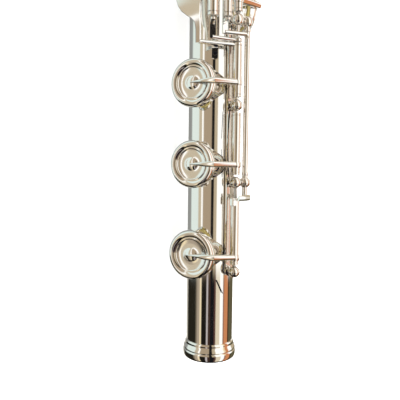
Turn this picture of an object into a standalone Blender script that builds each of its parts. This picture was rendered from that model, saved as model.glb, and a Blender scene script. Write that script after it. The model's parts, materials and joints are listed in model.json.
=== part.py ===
"""Concert flute with a B foot, in metres, +X towards the foot end and +Z up, where the body keys face.

The tube lies along X. A station is a distance from the open foot end towards the crown. An angle is
taken around the tube from +Z, positive towards the far side (+Y), negative towards the player (-Y).
Keys are drawn shut on their tone holes, then hung on their hinge rods and turned to where they rest.
"""

import math

import bmesh
import bpy
from mathutils import Matrix, Vector

MM = 0.001
DEG = math.pi / 180

# Tube, end to end
TUBE_RADIUS = 9.88 * MM
TUBE_WALL = 0.42 * MM
FIT_GAP = 0.32 * MM
FOOT_LENGTH = 171.5 * MM
SOCKET_DEPTH = 12.0 * MM
SOCKET_WALL = 0.9 * MM
BODY_LENGTH = 298.0 * MM
BARREL_LENGTH = 43.0 * MM
BARREL_OVERLAP = 8.0 * MM
BARREL_WALL = 1.1 * MM
HEAD_LENGTH = 229.0 * MM
HEAD_END_RADIUS = 0.921 * TUBE_RADIUS
CROWN_LENGTH = 10.5 * MM
CROWN_RADIUS = TUBE_RADIUS + FIT_GAP
END_RING_LENGTH = 7.2 * MM
END_RING_FLARE = 1.1 * MM
TUBE_SIDES = 16

# Tone holes and chimneys
CHIMNEY_HEIGHT = 2.05 * MM
CHIMNEY_RIM = 0.8 * MM
HOLE_SIDES = 10
FOOT_HOLE_RADIUS = 7.3 * MM
BODY_HOLE_RADIUS = 6.8 * MM
SMALL_HOLE_RADIUS = 3.6 * MM

# Key cups and pads, measured up from the rim of the chimney when the key is shut
FOOT_CUP_RADIUS = 9.5 * MM
B_CUP_RADIUS = 10.0 * MM
BODY_CUP_RADIUS = 9.0 * MM
SMALL_CUP_RADIUS = 5.6 * MM
PAD_THICKNESS = 1.9 * MM
CUP_SKIRT = 0.8 * MM
CUP_SHEET = 0.6 * MM
CUP_LIP = 1.1 * MM
CUP_WALL = 0.8 * MM
BOSS_RADIUS = 2.6 * MM
BOSS_HEIGHT = 0.7 * MM
CUP_SIDES = 12

# Hinge rods, tubes and posts
ROD_STANDOFF = 4.12 * MM
STEEL_OVERHANG = 1.6 * MM
STEEL_RADIUS = 0.75 * MM
HINGE_RADIUS = 1.85 * MM
TRILL_HINGE_RADIUS = 1.5 * MM
RUNNING_GAP = 0.32 * MM
BALL_RADIUS = 2.4 * MM
BALL_WALL = 0.8 * MM
POST_STEM_RADIUS = 1.25 * MM
POST_BASE_RADIUS = 1.85 * MM
RIB_WIDTH = 4.0 * MM
RIB_HEIGHT = 0.9 * MM
RIB_MARGIN = 0.35 * MM
HINGE_SIDES = 8
POST_SPIN = 9 * DEG

# Key arms
ARM_WIDTH = 2.4 * MM
ARM_TIP_WIDTH = 0.5 * MM
ARM_HEIGHT = 1.9 * MM
ARM_TAIL = 2.6 * MM
ARM_CLEARANCE = 0.9 * MM
ARM_STEP = 0.1 * MM
LEVER_WIDTH = 1.5 * MM
LEVER_GAP = 0.35 * MM

# Angles around the tube
FOOT_ROD_ANGLE = 2 * DEG
FOOT_CUP_ANGLE = -76 * DEG
D_SHARP_CUP_ANGLE = 68 * DEG
BODY_ROD_ANGLE = -62 * DEG
THUMB_ROD_ANGLE = -114 * DEG
THUMB_CUP_ANGLE = -176 * DEG
TRILL_ROD_ANGLE = -88 * DEG
TRILL_ARCH = 4.6 * MM
TRILL_TOUCH_STANDOFF = 6.4 * MM
G_SHARP_ROD_ANGLE = 0 * DEG
G_SHARP_CUP_ANGLE = 66 * DEG

# How far a key stands open, and how far a shut key opens
FOOT_LIFT = 7.5 * DEG
D_SHARP_LIFT = 7.0 * DEG
BODY_LIFT = 8.0 * DEG

# Foot joint stations
B_KEY = 46.0 * MM
B_ARM = 44.3 * MM
C_KEY = 82.2 * MM
C_SHARP_KEY = 113.9 * MM
C_SHARP_ARM = 114.9 * MM
D_SHARP_CUP = 147.0 * MM
FOOT_POSTS = (38.4 * MM, 75.0 * MM, 105.9 * MM, 139.3 * MM)
SOCKET_POST_SETBACK = 4.3 * MM
D_SHARP_TOUCH_SETBACK = 8.3 * MM
LEVER_ROD_RADIUS = 1.2 * MM
LEVER_ROD_STANDOFF = 5.5 * MM
LEVER_ROD_SPACING = 3.3 * MM
C_SHARP_LEVER = 129.5 * MM
ROLLER_LENGTH = 16.5 * MM
ROLLER_START = 138.2 * MM
C_ROLLER_RADIUS = 2.2 * MM
B_ROLLER_RADIUS = 1.65 * MM
C_ROLLER_ANGLE = -46 * DEG
B_ROLLER_ANGLE = -28 * DEG
TOUCH_STANDOFF = 7.2 * MM
C_SHARP_TOUCH_ANGLE = -81 * DEG
C_SHARP_STRIP_ANGLE = -67 * DEG
D_SHARP_TOUCH_ANGLE = -74 * DEG
TOUCH_THICKNESS = 1.3 * MM
TOUCH_DROP = 1.2 * MM
C_SHARP_TOUCH_LENGTH = 17.5 * MM
C_SHARP_TOUCH_WIDTH = 12.0 * MM
C_SHARP_STRIP_WIDTH = 2.4 * MM
C_SHARP_NECK = (3.6 * MM, 6.4 * MM, 1.2 * MM)
D_SHARP_TOUCH_LENGTH = 15.0 * MM
D_SHARP_TOUCH_WIDTH = 9.5 * MM
LINK_LENGTH = 3.2 * MM
LINK_WIDTH = 2.2 * MM
LINK_HEIGHT = 1.8 * MM
LINK_REACH = 2.1 * MM
LINK_RISE = 0.5 * MM
LEVER_FOOT_WIDTH = 2.4 * MM
LEVER_FOOT_RISE = 1.9 * MM
LEVER_FOOT_THICKNESS = 1.0 * MM
LEVER_FOOT_CLEARANCE = 1.4 * MM

# Roller brackets
LUG_LENGTH = 1.2 * MM
LUG_WIDTH = 1.8 * MM
LUG_HEAD = 0.7 * MM
BRACKET_DROP = 1.1 * MM
BRACKET_WIDTH = 2.0 * MM
BRACKET_THICKNESS = 1.0 * MM
AXLE_RADIUS = 0.6 * MM
ROLLER_EDGE = 0.4 * MM
ROLLER_SIDES = 14

# Body stations, measured from the top of the foot joint
BODY_POSTS = (3.0 * MM, 53.0 * MM, 109.6 * MM)
UPPER_POSTS = (130.6 * MM, 173.2 * MM, 240.2 * MM)
THUMB_POSTS = (170.6 * MM, 194.0 * MM, 217.4 * MM)
G_SHARP_POSTS = (106.2 * MM, 129.6 * MM)
TRILL_POSTS = (15.0 * MM, 148.6 * MM, 272.0 * MM)
D_KEY = 11.6 * MM
E_KEY = 39.8 * MM
F_KEY = 67.6 * MM
F_SHARP_KEY = 93.8 * MM
G_SHARP_KEY = 117.9 * MM
G_KEY = 142.0 * MM
A_KEY = 164.1 * MM
B_FLAT_KEY = 184.9 * MM
INDEX_TOUCH = 209.0 * MM
C_SHARP_UPPER_KEY = 230.5 * MM
THUMB_B_FLAT_KEY = 182.6 * MM
THUMB_B_KEY = 205.4 * MM
D_TRILL_KEY = 246.0 * MM
D_SHARP_TRILL_KEY = 260.5 * MM
D_TRILL_TOUCH = 53.7 * MM
D_SHARP_TRILL_TOUCH = 25.7 * MM

# Head joint
EMBOUCHURE_SETBACK = 176.5 * MM
EMBOUCHURE_LENGTH = 12.0 * MM
EMBOUCHURE_WIDTH = 10.2 * MM
LIP_LENGTH = 40.0 * MM
LIP_WIDTH = 24.0 * MM
LIP_RISE = 3.7 * MM
LIP_THICKNESS = 1.0 * MM
RISER_WALL = 1.3 * MM
STOPPER_SETBACK = 17.3 * MM
STOPPER_LENGTH = 17.0 * MM
STOPPER_SCREW_RADIUS = 1.7 * MM

COLLAR_RADIUS = TUBE_RADIUS + FIT_GAP
END_RING_RADIUS = COLLAR_RADIUS + END_RING_FLARE
LIP_RADIUS = TUBE_RADIUS + LIP_RISE
LEVER_ROD_ANGLE = FOOT_ROD_ANGLE + LEVER_ROD_SPACING / TUBE_RADIUS
TOTAL_LENGTH = FOOT_LENGTH + BODY_LENGTH + HEAD_LENGTH + CROWN_LENGTH
FOOT_END_X = TOTAL_LENGTH / 2
BORE_RADIUS = TUBE_RADIUS - TUBE_WALL
SEAT_RADIUS = TUBE_RADIUS + CHIMNEY_HEIGHT
ROD_RADIUS = TUBE_RADIUS + ROD_STANDOFF
STEEL_BORE = STEEL_RADIUS + RUNNING_GAP
CUP_FLOOR = 2 * FIT_GAP + PAD_THICKNESS
CUP_FACE = CUP_FLOOR + CUP_SHEET
CUP_TOP = CUP_FACE + CUP_LIP
BODY_TOP = FOOT_LENGTH + BODY_LENGTH
EMBOUCHURE = BODY_TOP + EMBOUCHURE_SETBACK
SOCKET_POST = FOOT_LENGTH - SOCKET_POST_SETBACK
D_SHARP_TOUCH = FOOT_LENGTH - D_SHARP_TOUCH_SETBACK
LEVER_POSTS = (FOOT_POSTS[1], FOOT_POSTS[3])
KEY_CLEARANCE = BALL_RADIUS + 2 * RUNNING_GAP
BARREL_START = BODY_TOP - BARREL_OVERLAP
CROWN_START = TOTAL_LENGTH - CROWN_LENGTH

SILVER = (0.90, 0.88, 0.84, 1.0)
PAD_SKIN = (0.87, 0.73, 0.42, 1.0)
CORK = (0.62, 0.43, 0.26, 1.0)
STEEL = (0.62, 0.62, 0.63, 1.0)


# Scene helpers

def clear_scene():
    for old in list(bpy.data.objects):
        bpy.data.objects.remove(old, do_unlink=True)


def new_collection(name):
    made = bpy.data.collections.new(name)
    bpy.context.scene.collection.children.link(made)
    return made


def material(name, colour, roughness, metallic):
    made = bpy.data.materials.new(name)
    made.use_nodes = True
    shader = made.node_tree.nodes["Principled BSDF"]
    shader.inputs["Base Color"].default_value = colour
    shader.inputs["Roughness"].default_value = roughness
    shader.inputs["Metallic"].default_value = metallic
    return made


def add_mesh(name, shape):
    """A new object in the tools collection; keep() moves a finished one among the parts."""
    mesh = bpy.data.meshes.new(name)
    shape.to_mesh(mesh)
    shape.free()
    return add_object(name, mesh)


def add_object(name, mesh):
    made = bpy.data.objects.new(name, mesh)
    made.hide_render = True
    made.display_type = "WIRE"
    TOOLS.objects.link(made)
    return made


def baked(name, source):
    """The evaluated mesh of a modifier or curve object, welded, in place of that object."""
    graph = bpy.context.evaluated_depsgraph_get()
    mesh = bpy.data.meshes.new_from_object(source.evaluated_get(graph))
    shape = bmesh.new()
    shape.from_mesh(mesh)
    bmesh.ops.remove_doubles(shape, verts=shape.verts, dist=1e-7)
    bmesh.ops.recalc_face_normals(shape, faces=shape.faces)
    bpy.data.objects.remove(source, do_unlink=True)
    bpy.data.meshes.remove(mesh)
    return add_mesh(name, shape)


def boolean(target, other, operation):
    step = target.modifiers.new(operation.lower() + "_" + other.name, "BOOLEAN")
    step.operation = operation
    step.solver = "EXACT"
    step.object = other


def join(target, *others):
    for other in others:
        boolean(target, other, "UNION")
    return target


def cut(target, *others):
    for other in others:
        boolean(target, other, "DIFFERENCE")
    return target


def keep(part, finish):
    """Makes an object one of the flute's parts."""
    part.data.materials.append(finish)
    part.data.shade_smooth()
    part.data.set_sharp_from_angle(angle=35 * DEG)
    part.hide_render = False
    part.display_type = "TEXTURED"
    TOOLS.objects.unlink(part)
    PARTS.objects.link(part)
    return part


# Places on the tube

def on_tube(station, angle, radius):
    return Vector((FOOT_END_X - station, radius * math.sin(angle), radius * math.cos(angle)))


def facing(station, angle, radius):
    """Z points away from the tube at that angle, and X along the tube to the foot end."""
    out = Vector((0, math.sin(angle), math.cos(angle)))
    along = Vector((1, 0, 0))
    turned_frame = Matrix((along, out.cross(along), out)).transposed().to_4x4()
    return Matrix.Translation(on_tube(station, angle, radius)) @ turned_frame


def aimed(start, end):
    """Z runs from start to end, and Y lies along the tube."""
    run = (end - start).normalized()
    along = Vector((1, 0, 0))
    if abs(run.x) > 0.9:
        along = Vector((0, 0, 1))
    side = along - run * along.dot(run)
    side.normalize()
    frame = Matrix((side.cross(run), side, run)).transposed().to_4x4()
    return Matrix.Translation(start) @ frame


# Shapes

def cylinder(name, start, end, radius, sides, end_radius=None, spin=0.0):
    shape = bmesh.new()
    length = (end - start).length
    bmesh.ops.create_cone(
        shape,
        cap_ends=True,
        segments=sides,
        radius1=radius,
        radius2=radius if end_radius is None else end_radius,
        depth=length,
    )
    turn = Matrix.Rotation(spin, 4, "Z")
    shape.transform(aimed(start, end) @ Matrix.Translation((0, 0, length / 2)) @ turn)
    return add_mesh(name, shape)


def along_tube(name, first, last, angle, distance, radius, sides=HINGE_SIDES):
    """A round bar between two stations, parallel to the tube."""
    return cylinder(name, on_tube(first, angle, distance), on_tube(last, angle, distance), radius, sides)


def centred(name, first, last, radius, sides=TUBE_SIDES, end_radius=None):
    """A round bar on the tube's own axis."""
    return cylinder(name, on_tube(first, 0, 0), on_tube(last, 0, 0), radius, sides, end_radius)


def ball(name, centre, radius):
    shape = bmesh.new()
    bmesh.ops.create_uvsphere(shape, u_segments=8, v_segments=5, radius=radius)
    turn = Matrix.Rotation(90 * DEG, 4, "Y") @ Matrix.Rotation(POST_SPIN, 4, "Z")
    shape.transform(Matrix.Translation(centre) @ turn)
    return add_mesh(name, shape)


def block(name, frame, size, centre=(0, 0, 0)):
    shape = bmesh.new()
    bmesh.ops.create_cube(shape, size=1)
    shape.transform(frame @ Matrix.Translation(centre) @ Matrix.Diagonal((*size, 1)))
    return add_mesh(name, shape)


def turned(name, outline, frame, sides):
    """A solid of revolution about the frame's Z, from (radius, height) down its outer side."""
    mesh = bpy.data.meshes.new(name)
    count = len(outline)
    shut = outline[0][0] > 0
    edges = [(i, i + 1) for i in range(count - 1)]
    if shut:
        edges.append((count - 1, 0))
    mesh.from_pydata([(radius, 0, height) for radius, height in outline], edges, [])
    source = add_object(name + "_outline", mesh)
    screw = source.modifiers.new("turn", "SCREW")
    screw.steps = sides
    screw.render_steps = sides
    screw.use_merge_vertices = True
    screw.merge_threshold = 1e-6
    made = baked(name, source)
    made.data.transform(frame)
    return made


def plate(name, points, thickness, frame):
    """A flat outline of (x, y) points, centred on the frame's XY plane."""
    curve = bpy.data.curves.new(name, "CURVE")
    curve.dimensions = "2D"
    curve.fill_mode = "BOTH"
    curve.extrude = thickness / 2
    spline = curve.splines.new("POLY")
    spline.points.add(len(points) - 1)
    for place, (x, y) in zip(spline.points, points):
        place.co = (x, y, 0, 1)
    spline.use_cyclic_u = True
    source = bpy.data.objects.new(name + "_outline", curve)
    TOOLS.objects.link(source)
    made = baked(name, source)
    made.data.transform(frame)
    return made


def teardrop(length, width, sides=14):
    """Outline points of a touch: a round end at the origin's side, narrowing along +X to a neck."""
    points = []
    for step in range(sides + 1):
        turn = (90 + 180 * step / sides) * DEG
        points.append((width / 2 * (1 + math.cos(turn)), width / 2 * math.sin(turn)))
    points.append((length, -LEVER_WIDTH / 2))
    points.append((length, LEVER_WIDTH / 2))
    return points


# Keys

def hang(parts, pivot, turn):
    """Hangs parts drawn shut on an empty at their hinge axis and turns them to rest."""
    name = parts[0].name
    hinge = bpy.data.objects.new(name + "_hinge", None)
    TOOLS.objects.link(hinge)
    hinge.location = pivot
    hinge.rotation_euler.x = turn
    hinge.parent = FLUTE
    for part in parts:
        helpers = [step.object for step in part.modifiers]
        for piece in [part, *helpers]:
            piece.data.transform(Matrix.Translation(-pivot))
            piece.parent = hinge
    return hinge


def fix(*parts):
    """Parents parts that don't move against their tube to the flute itself."""
    for part in parts:
        for piece in [part, *(step.object for step in part.modifiers)]:
            piece.parent = FLUTE


def cup(name, frame, radius):
    """A closed key cup: dished sheet, rounded lip, domed boss, and a skirt around the pad."""
    inner = radius - CUP_WALL
    step = radius / 10
    outline = [
        (0, CUP_FACE + BOSS_HEIGHT),
        (BOSS_RADIUS, CUP_FACE),
        (radius - 3.4 * step, CUP_FACE),
        (radius - 2.6 * step, CUP_TOP),
        (radius - 0.8 * step, CUP_TOP),
        (radius, CUP_FACE),
        (radius, CUP_SKIRT),
        (inner, CUP_SKIRT),
        (inner, CUP_FLOOR),
        (0, CUP_FLOOR),
    ]
    return turned(name, outline, frame, CUP_SIDES)


def pad(name, frame, radius):
    outer = radius - CUP_WALL - FIT_GAP
    top = FIT_GAP + PAD_THICKNESS
    outline = [(0, top), (outer, top), (outer, FIT_GAP), (0, FIT_GAP)]
    made = turned(name, outline, frame, CUP_SIDES)
    return keep(made, FELT)


def bar(name, first, last, width, height, before=0.0, after=0.0):
    """A straight flat bar between two points, running on past either."""
    length = (last - first).length + before + after
    middle = (length / 2) - before
    return block(name, aimed(first, last), (height, width, length), (0, 0, middle))


def pointed_arm(name, seat, rod, radius):
    """An arm that climbs from the hinge rod past the cup's edge and runs to a point over its middle."""
    side = math.copysign(1, (seat.inverted() @ rod).y)
    shoulder = seat @ Vector((0, side * (radius + ARM_CLEARANCE), CUP_TOP + ARM_STEP))
    tip = seat @ Vector((0, 0, CUP_FACE + ARM_HEIGHT / 2 + ARM_STEP))
    climb = bar(name + "_climb", rod, shoulder, ARM_WIDTH, ARM_HEIGHT, ARM_TAIL, ARM_HEIGHT / 2)
    frame = aimed(shoulder, tip) @ Matrix.Rotation(-90 * DEG, 4, "Y")
    reach = (tip - shoulder).length
    half = ARM_WIDTH * 0.52
    points = [
        (-ARM_HEIGHT * 0.45, -half),
        (reach * 0.4, -half * 0.8),
        (reach, -ARM_TIP_WIDTH / 2),
        (reach, ARM_TIP_WIDTH / 2),
        (reach * 0.4, half * 0.8),
        (-ARM_HEIGHT * 0.45, half),
    ]
    return climb, plate(name, points, ARM_HEIGHT * 0.9, frame)


def lever(name, station, start, end, width=LEVER_WIDTH, height=ARM_HEIGHT):
    """A straight bar across the tube at one station, between two (angle, radius) places."""
    first = on_tube(station, *start)
    last = on_tube(station, *end)
    frame = aimed(first, last)
    length = (last - first).length
    return block(name, frame, (height, width, length), (0, 0, length / 2))


def hinge_bore(name, first, last, angle, distance=None, radius=STEEL_BORE):
    distance = ROD_RADIUS if distance is None else distance
    past = 4 * MM
    return along_tube(name + "_bore", first - past, last + past, angle, distance, radius)


def key(name, station, cup_angle, rod_angle, radius, first, last, arm_station=None):
    """Cup, pointed arm and hinge tube in one, and its pad; both drawn shut."""
    seat = facing(station, cup_angle, SEAT_RADIUS)
    body = cup(name, seat, radius)
    rod = on_tube(arm_station or station, rod_angle, ROD_RADIUS)
    sleeve = along_tube(name + "_tube", first, last, rod_angle, ROD_RADIUS, HINGE_RADIUS)
    join(body, *pointed_arm(name + "_arm", seat, rod, radius), sleeve)
    return body, pad(name.replace("_key", "") + "_pad", seat, radius)


def post(name, station, angle, distance=None, hole=STEEL_BORE, base=None):
    """A ball post standing on its base, with the hole for its rod; returns post and hole."""
    distance = ROD_RADIUS if distance is None else distance
    base = COLLAR_RADIUS if base is None else base
    foot = on_tube(station, angle, base)
    neck = on_tube(station, angle, distance - BALL_RADIUS * 0.4)
    head = ball(name, on_tube(station, angle, distance), max(BALL_RADIUS, hole + BALL_WALL))
    stem = cylinder(name + "_stem", foot, neck, POST_BASE_RADIUS, 10, POST_STEM_RADIUS, POST_SPIN)
    drill = along_tube(name + "_hole", station - 4 * MM, station + 4 * MM, angle, distance, hole)
    return head, stem, drill


def rib_parts(name, stations, angle, holes_at=()):
    """A strap along the tube with a ball post at each station, and the holes for its rod."""
    reach = POST_BASE_RADIUS + RIB_MARGIN
    middle = (stations[0] + stations[-1]) / 2
    length = stations[-1] - stations[0] + 2 * reach
    low = COLLAR_RADIUS
    strap = block(name, facing(middle, angle, low + RIB_HEIGHT / 2), (length, RIB_WIDTH, RIB_HEIGHT))
    drills = []
    for index, station in enumerate(stations):
        hole = holes_at[index] if holes_at else STEEL_BORE
        head, stem, drill = post(f"{name}_{index + 1}", station, angle, hole=hole, base=low + RIB_HEIGHT / 2)
        join(strap, stem, head)
        drills.append(drill)
    return strap, drills


def rib(name, stations, angle, holes_at=()):
    strap, drills = rib_parts(name, stations, angle, holes_at)
    return keep(cut(strap, *drills), PLATED)


def steel(name, first, last, angle):
    return keep(along_tube(name, first, last, angle, ROD_RADIUS, STEEL_RADIUS), RODS)


# Tubes

def holes(name, places):
    """Chimneys to join and tone holes to cut, for (label, station, angle, radius) places."""
    chimneys = []
    cutters = []
    for label, station, angle, radius in places:
        low = on_tube(station, angle, TUBE_RADIUS * 0.6)
        seat = on_tube(station, angle, SEAT_RADIUS)
        above = on_tube(station, angle, SEAT_RADIUS + 2 * MM)
        chimneys.append(cylinder(f"{name}_{label}_chimney", low, seat, radius + CHIMNEY_RIM, HOLE_SIDES))
        cutters.append(cylinder(f"{name}_{label}_hole", low, above, radius, HOLE_SIDES))
    return chimneys, cutters


def build_foot():
    top = FOOT_LENGTH
    tube = centred("foot_tube", 0, top, TUBE_RADIUS)
    socket_start = top - SOCKET_DEPTH
    socket = centred("foot_socket", socket_start, top, COLLAR_RADIUS + SOCKET_WALL)
    places = [
        ("b", B_KEY, FOOT_CUP_ANGLE, FOOT_HOLE_RADIUS),
        ("c", C_KEY, FOOT_CUP_ANGLE, FOOT_HOLE_RADIUS),
        ("c_sharp", C_SHARP_KEY, FOOT_CUP_ANGLE, FOOT_HOLE_RADIUS),
        ("d_sharp", D_SHARP_CUP, D_SHARP_CUP_ANGLE, BODY_HOLE_RADIUS),
    ]
    chimneys, cutters = holes("foot", places)
    bore = centred("foot_bore", -5 * MM, top + 5 * MM, BORE_RADIUS)
    recess = centred("foot_recess", socket_start + 0.5 * MM, top + 5 * MM, COLLAR_RADIUS)
    join(tube, socket, *chimneys)
    cut(tube, bore, recess, *cutters)
    keep(tube, PLATED)
    inner = COLLAR_RADIUS
    flare = END_RING_RADIUS - inner
    outline = [
        (inner + 0.15 * flare, END_RING_LENGTH),
        (inner + 0.25 * flare, 0.75 * END_RING_LENGTH),
        (inner + 0.60 * flare, 0.58 * END_RING_LENGTH),
        (END_RING_RADIUS, 0.50 * END_RING_LENGTH),
        (END_RING_RADIUS, 0.18 * END_RING_LENGTH),
        (END_RING_RADIUS - 0.4 * MM, 0),
        (inner, 0),
        (inner, END_RING_LENGTH),
    ]
    upright = Matrix.Translation(on_tube(0, 0, 0)) @ Matrix.Rotation(-90 * DEG, 4, "Y")
    ring = keep(turned("end_ring", outline, upright, TUBE_SIDES), PLATED)
    fix(tube, ring)


def build_foot_rib():
    strap, drills = rib_parts("foot_rib", FOOT_POSTS, FOOT_ROD_ANGLE)
    distance = TUBE_RADIUS + LEVER_ROD_STANDOFF
    hole = LEVER_ROD_RADIUS + RUNNING_GAP
    base = COLLAR_RADIUS + RIB_HEIGHT / 2
    for index, station in enumerate(LEVER_POSTS):
        name = f"lever_post_{index + 1}"
        head, stem, drill = post(name, station, LEVER_ROD_ANGLE, distance, hole, base)
        join(strap, stem, head)
        drills.append(drill)
    cut(strap, *drills)
    on_socket = COLLAR_RADIUS + SOCKET_WALL + FIT_GAP
    head, stem, drill = post("socket_post", SOCKET_POST, FOOT_ROD_ANGLE, base=on_socket)
    join(head, stem)
    cut(head, drill)
    fix(keep(strap, PLATED), keep(head, PLATED))


def bracket(name, arm_station, angle, radius, *route):
    """Lever arm along a route of (angle, radius) places, base bar, two lugs and axle of a roller touch."""
    centre = TUBE_RADIUS + TOUCH_STANDOFF
    low = centre - radius - BRACKET_DROP
    first = ROLLER_START - RUNNING_GAP - LUG_LENGTH
    last = ROLLER_START + ROLLER_LENGTH + RUNNING_GAP + LUG_LENGTH
    top = centre + LUG_HEAD
    bar_start = arm_station - LEVER_WIDTH / 2
    bar = block(
        name + "_bar",
        facing((bar_start + last) / 2, angle, low),
        (last - bar_start, BRACKET_WIDTH, BRACKET_THICKNESS),
    )
    pieces = [bar]
    ends = (first + LUG_LENGTH / 2, last - LUG_LENGTH / 2)
    for index, station in enumerate(ends):
        frame = facing(station, angle, (low + top) / 2)
        pieces.append(block(f"{name}_lug_{index}", frame, (LUG_LENGTH, LUG_WIDTH, top - low)))
    pieces.append(along_tube(name + "_axle", *ends, angle, centre, AXLE_RADIUS))
    stops = [*route, (angle, low)]
    for index, (start, end) in enumerate(zip(stops, stops[1:])):
        pieces.append(lever(f"{name}_lever_{index}", arm_station, start, end))
    return pieces


def roller(name, angle, radius):
    centre = TUBE_RADIUS + TOUCH_STANDOFF
    end = on_tube(ROLLER_START + ROLLER_LENGTH, angle, centre)
    frame = Matrix.Translation(end) @ Matrix.Rotation(90 * DEG, 4, "Y")
    edge = ROLLER_EDGE
    bore = AXLE_RADIUS + RUNNING_GAP
    outline = [
        (bore, ROLLER_LENGTH),
        (radius - edge, ROLLER_LENGTH),
        (radius, ROLLER_LENGTH - edge),
        (radius, edge),
        (radius - edge, 0),
        (bore, 0),
    ]
    return keep(turned(name, outline, frame, ROLLER_SIDES), PLATED)


def build_b_key():
    rod = (FOOT_ROD_ANGLE, ROD_RADIUS)
    first = FOOT_POSTS[0] + KEY_CLEARANCE
    last = FOOT_POSTS[1] - KEY_CLEARANCE - LINK_LENGTH
    body, felt = key("b_key", B_KEY, FOOT_CUP_ANGLE, rod[0], B_CUP_RADIUS, first, last, B_ARM)
    link = facing(last - LINK_LENGTH / 2, *rod)
    size = (LINK_LENGTH, LINK_WIDTH, LINK_HEIGHT)
    join(body, block("b_key_lug", link, size, (0, -LINK_REACH, LINK_RISE)))
    cut(body, hinge_bore("b_key", first, last, rod[0]))
    keep(body, PLATED)
    hang([body, felt], on_tube(C_KEY, *rod), -FOOT_LIFT)
    fix(steel("b_key_steel", FOOT_POSTS[0] - STEEL_OVERHANG, FOOT_POSTS[1] + BALL_RADIUS / 2, rod[0]))


def build_c_key():
    rod = (FOOT_ROD_ANGLE, ROD_RADIUS)
    first = FOOT_POSTS[1] + KEY_CLEARANCE
    last = FOOT_POSTS[2] - KEY_CLEARANCE
    arm = C_SHARP_LEVER + LEVER_WIDTH + LEVER_GAP
    body, felt = key("c_key", C_KEY, FOOT_CUP_ANGLE, rod[0], FOOT_CUP_RADIUS, first, last)
    core = along_tube("c_key_rod", first, FOOT_POSTS[3] - RUNNING_GAP, *rod, STEEL_RADIUS)
    collar = along_tube("c_key_collar", arm - LEVER_WIDTH / 2, arm + LEVER_WIDTH / 2, *rod, HINGE_RADIUS)
    join(body, core, collar, *bracket("c_key_touch", arm, C_ROLLER_ANGLE, C_ROLLER_RADIUS, rod))
    keep(body, PLATED)
    turning = roller("c_roller", C_ROLLER_ANGLE, C_ROLLER_RADIUS)
    hang([body, felt, turning], on_tube(C_KEY, *rod), -FOOT_LIFT)


def build_c_sharp_key():
    rod = (FOOT_ROD_ANGLE, ROD_RADIUS)
    first = FOOT_POSTS[2] + KEY_CLEARANCE
    last = C_SHARP_LEVER + LEVER_WIDTH / 2
    name = "c_sharp_key"
    body, felt = key(name, C_SHARP_KEY, FOOT_CUP_ANGLE, rod[0], FOOT_CUP_RADIUS, first, last, C_SHARP_ARM)
    level = TUBE_RADIUS + TOUCH_STANDOFF - TOUCH_DROP
    side = (C_SHARP_STRIP_ANGLE, level - 0.6 * TOUCH_THICKNESS)
    strip_end = ROLLER_START + FIT_GAP
    middle = (C_SHARP_LEVER + strip_end) / 2
    size = (strip_end - C_SHARP_LEVER, C_SHARP_STRIP_WIDTH, TOUCH_THICKNESS)
    strip = block(name + "_strip", facing(middle, *side), size)
    outline = teardrop(C_SHARP_TOUCH_LENGTH, C_SHARP_TOUCH_WIDTH)
    touch_end = strip_end - TOUCH_THICKNESS + C_SHARP_TOUCH_LENGTH
    touch = plate(name + "_touch", outline, TOUCH_THICKNESS, facing(touch_end, C_SHARP_TOUCH_ANGLE, level))
    neck_angle = (C_SHARP_STRIP_ANGLE + C_SHARP_TOUCH_ANGLE) / 2
    neck = block(name + "_neck", facing(strip_end, neck_angle, level - 0.3 * TOUCH_THICKNESS), C_SHARP_NECK)
    join(body, lever(name + "_lever", C_SHARP_LEVER, rod, side), strip, neck, touch)
    cut(body, hinge_bore(name, first, last, rod[0]))
    keep(body, PLATED)
    hang([body, felt], on_tube(C_KEY, *rod), -FOOT_LIFT)


def build_b_lever():
    """The outer rod: its foot presses the B key's link, and its arm arches over the main rod to a roller."""
    outer = (LEVER_ROD_ANGLE, TUBE_RADIUS + LEVER_ROD_STANDOFF)
    half = LEVER_FOOT_WIDTH / 2
    first = FOOT_POSTS[1] - KEY_CLEARANCE - LINK_LENGTH - half
    arm = C_SHARP_LEVER + 2 * (LEVER_WIDTH + LEVER_GAP)
    body = along_tube("b_lever", first, LEVER_POSTS[1] + STEEL_OVERHANG, *outer, LEVER_ROD_RADIUS)
    foot = first + half
    size = (LEVER_FOOT_WIDTH, LINK_WIDTH, LINK_LENGTH)
    riser = block("b_lever_riser", facing(foot, *outer), size, (0, 0, half))
    over = (FOOT_ROD_ANGLE - 9 * DEG, ROD_RADIUS + HINGE_RADIUS + LEVER_FOOT_CLEARANCE)
    start = (outer[0], outer[1] + LEVER_FOOT_RISE)
    crossbar = lever("b_lever_foot", foot, start, over, LEVER_FOOT_WIDTH, LEVER_FOOT_THICKNESS)
    arch = (FOOT_ROD_ANGLE, ROD_RADIUS + HINGE_RADIUS + LEVER_ROD_RADIUS)
    touch = bracket("b_lever_touch", arm, B_ROLLER_ANGLE, B_ROLLER_RADIUS, outer, arch)
    join(body, riser, crossbar, *touch)
    keep(body, PLATED)
    turning = roller("b_roller", B_ROLLER_ANGLE, B_ROLLER_RADIUS)
    hang([body, turning], on_tube(C_KEY, *outer), -FOOT_LIFT)


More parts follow.
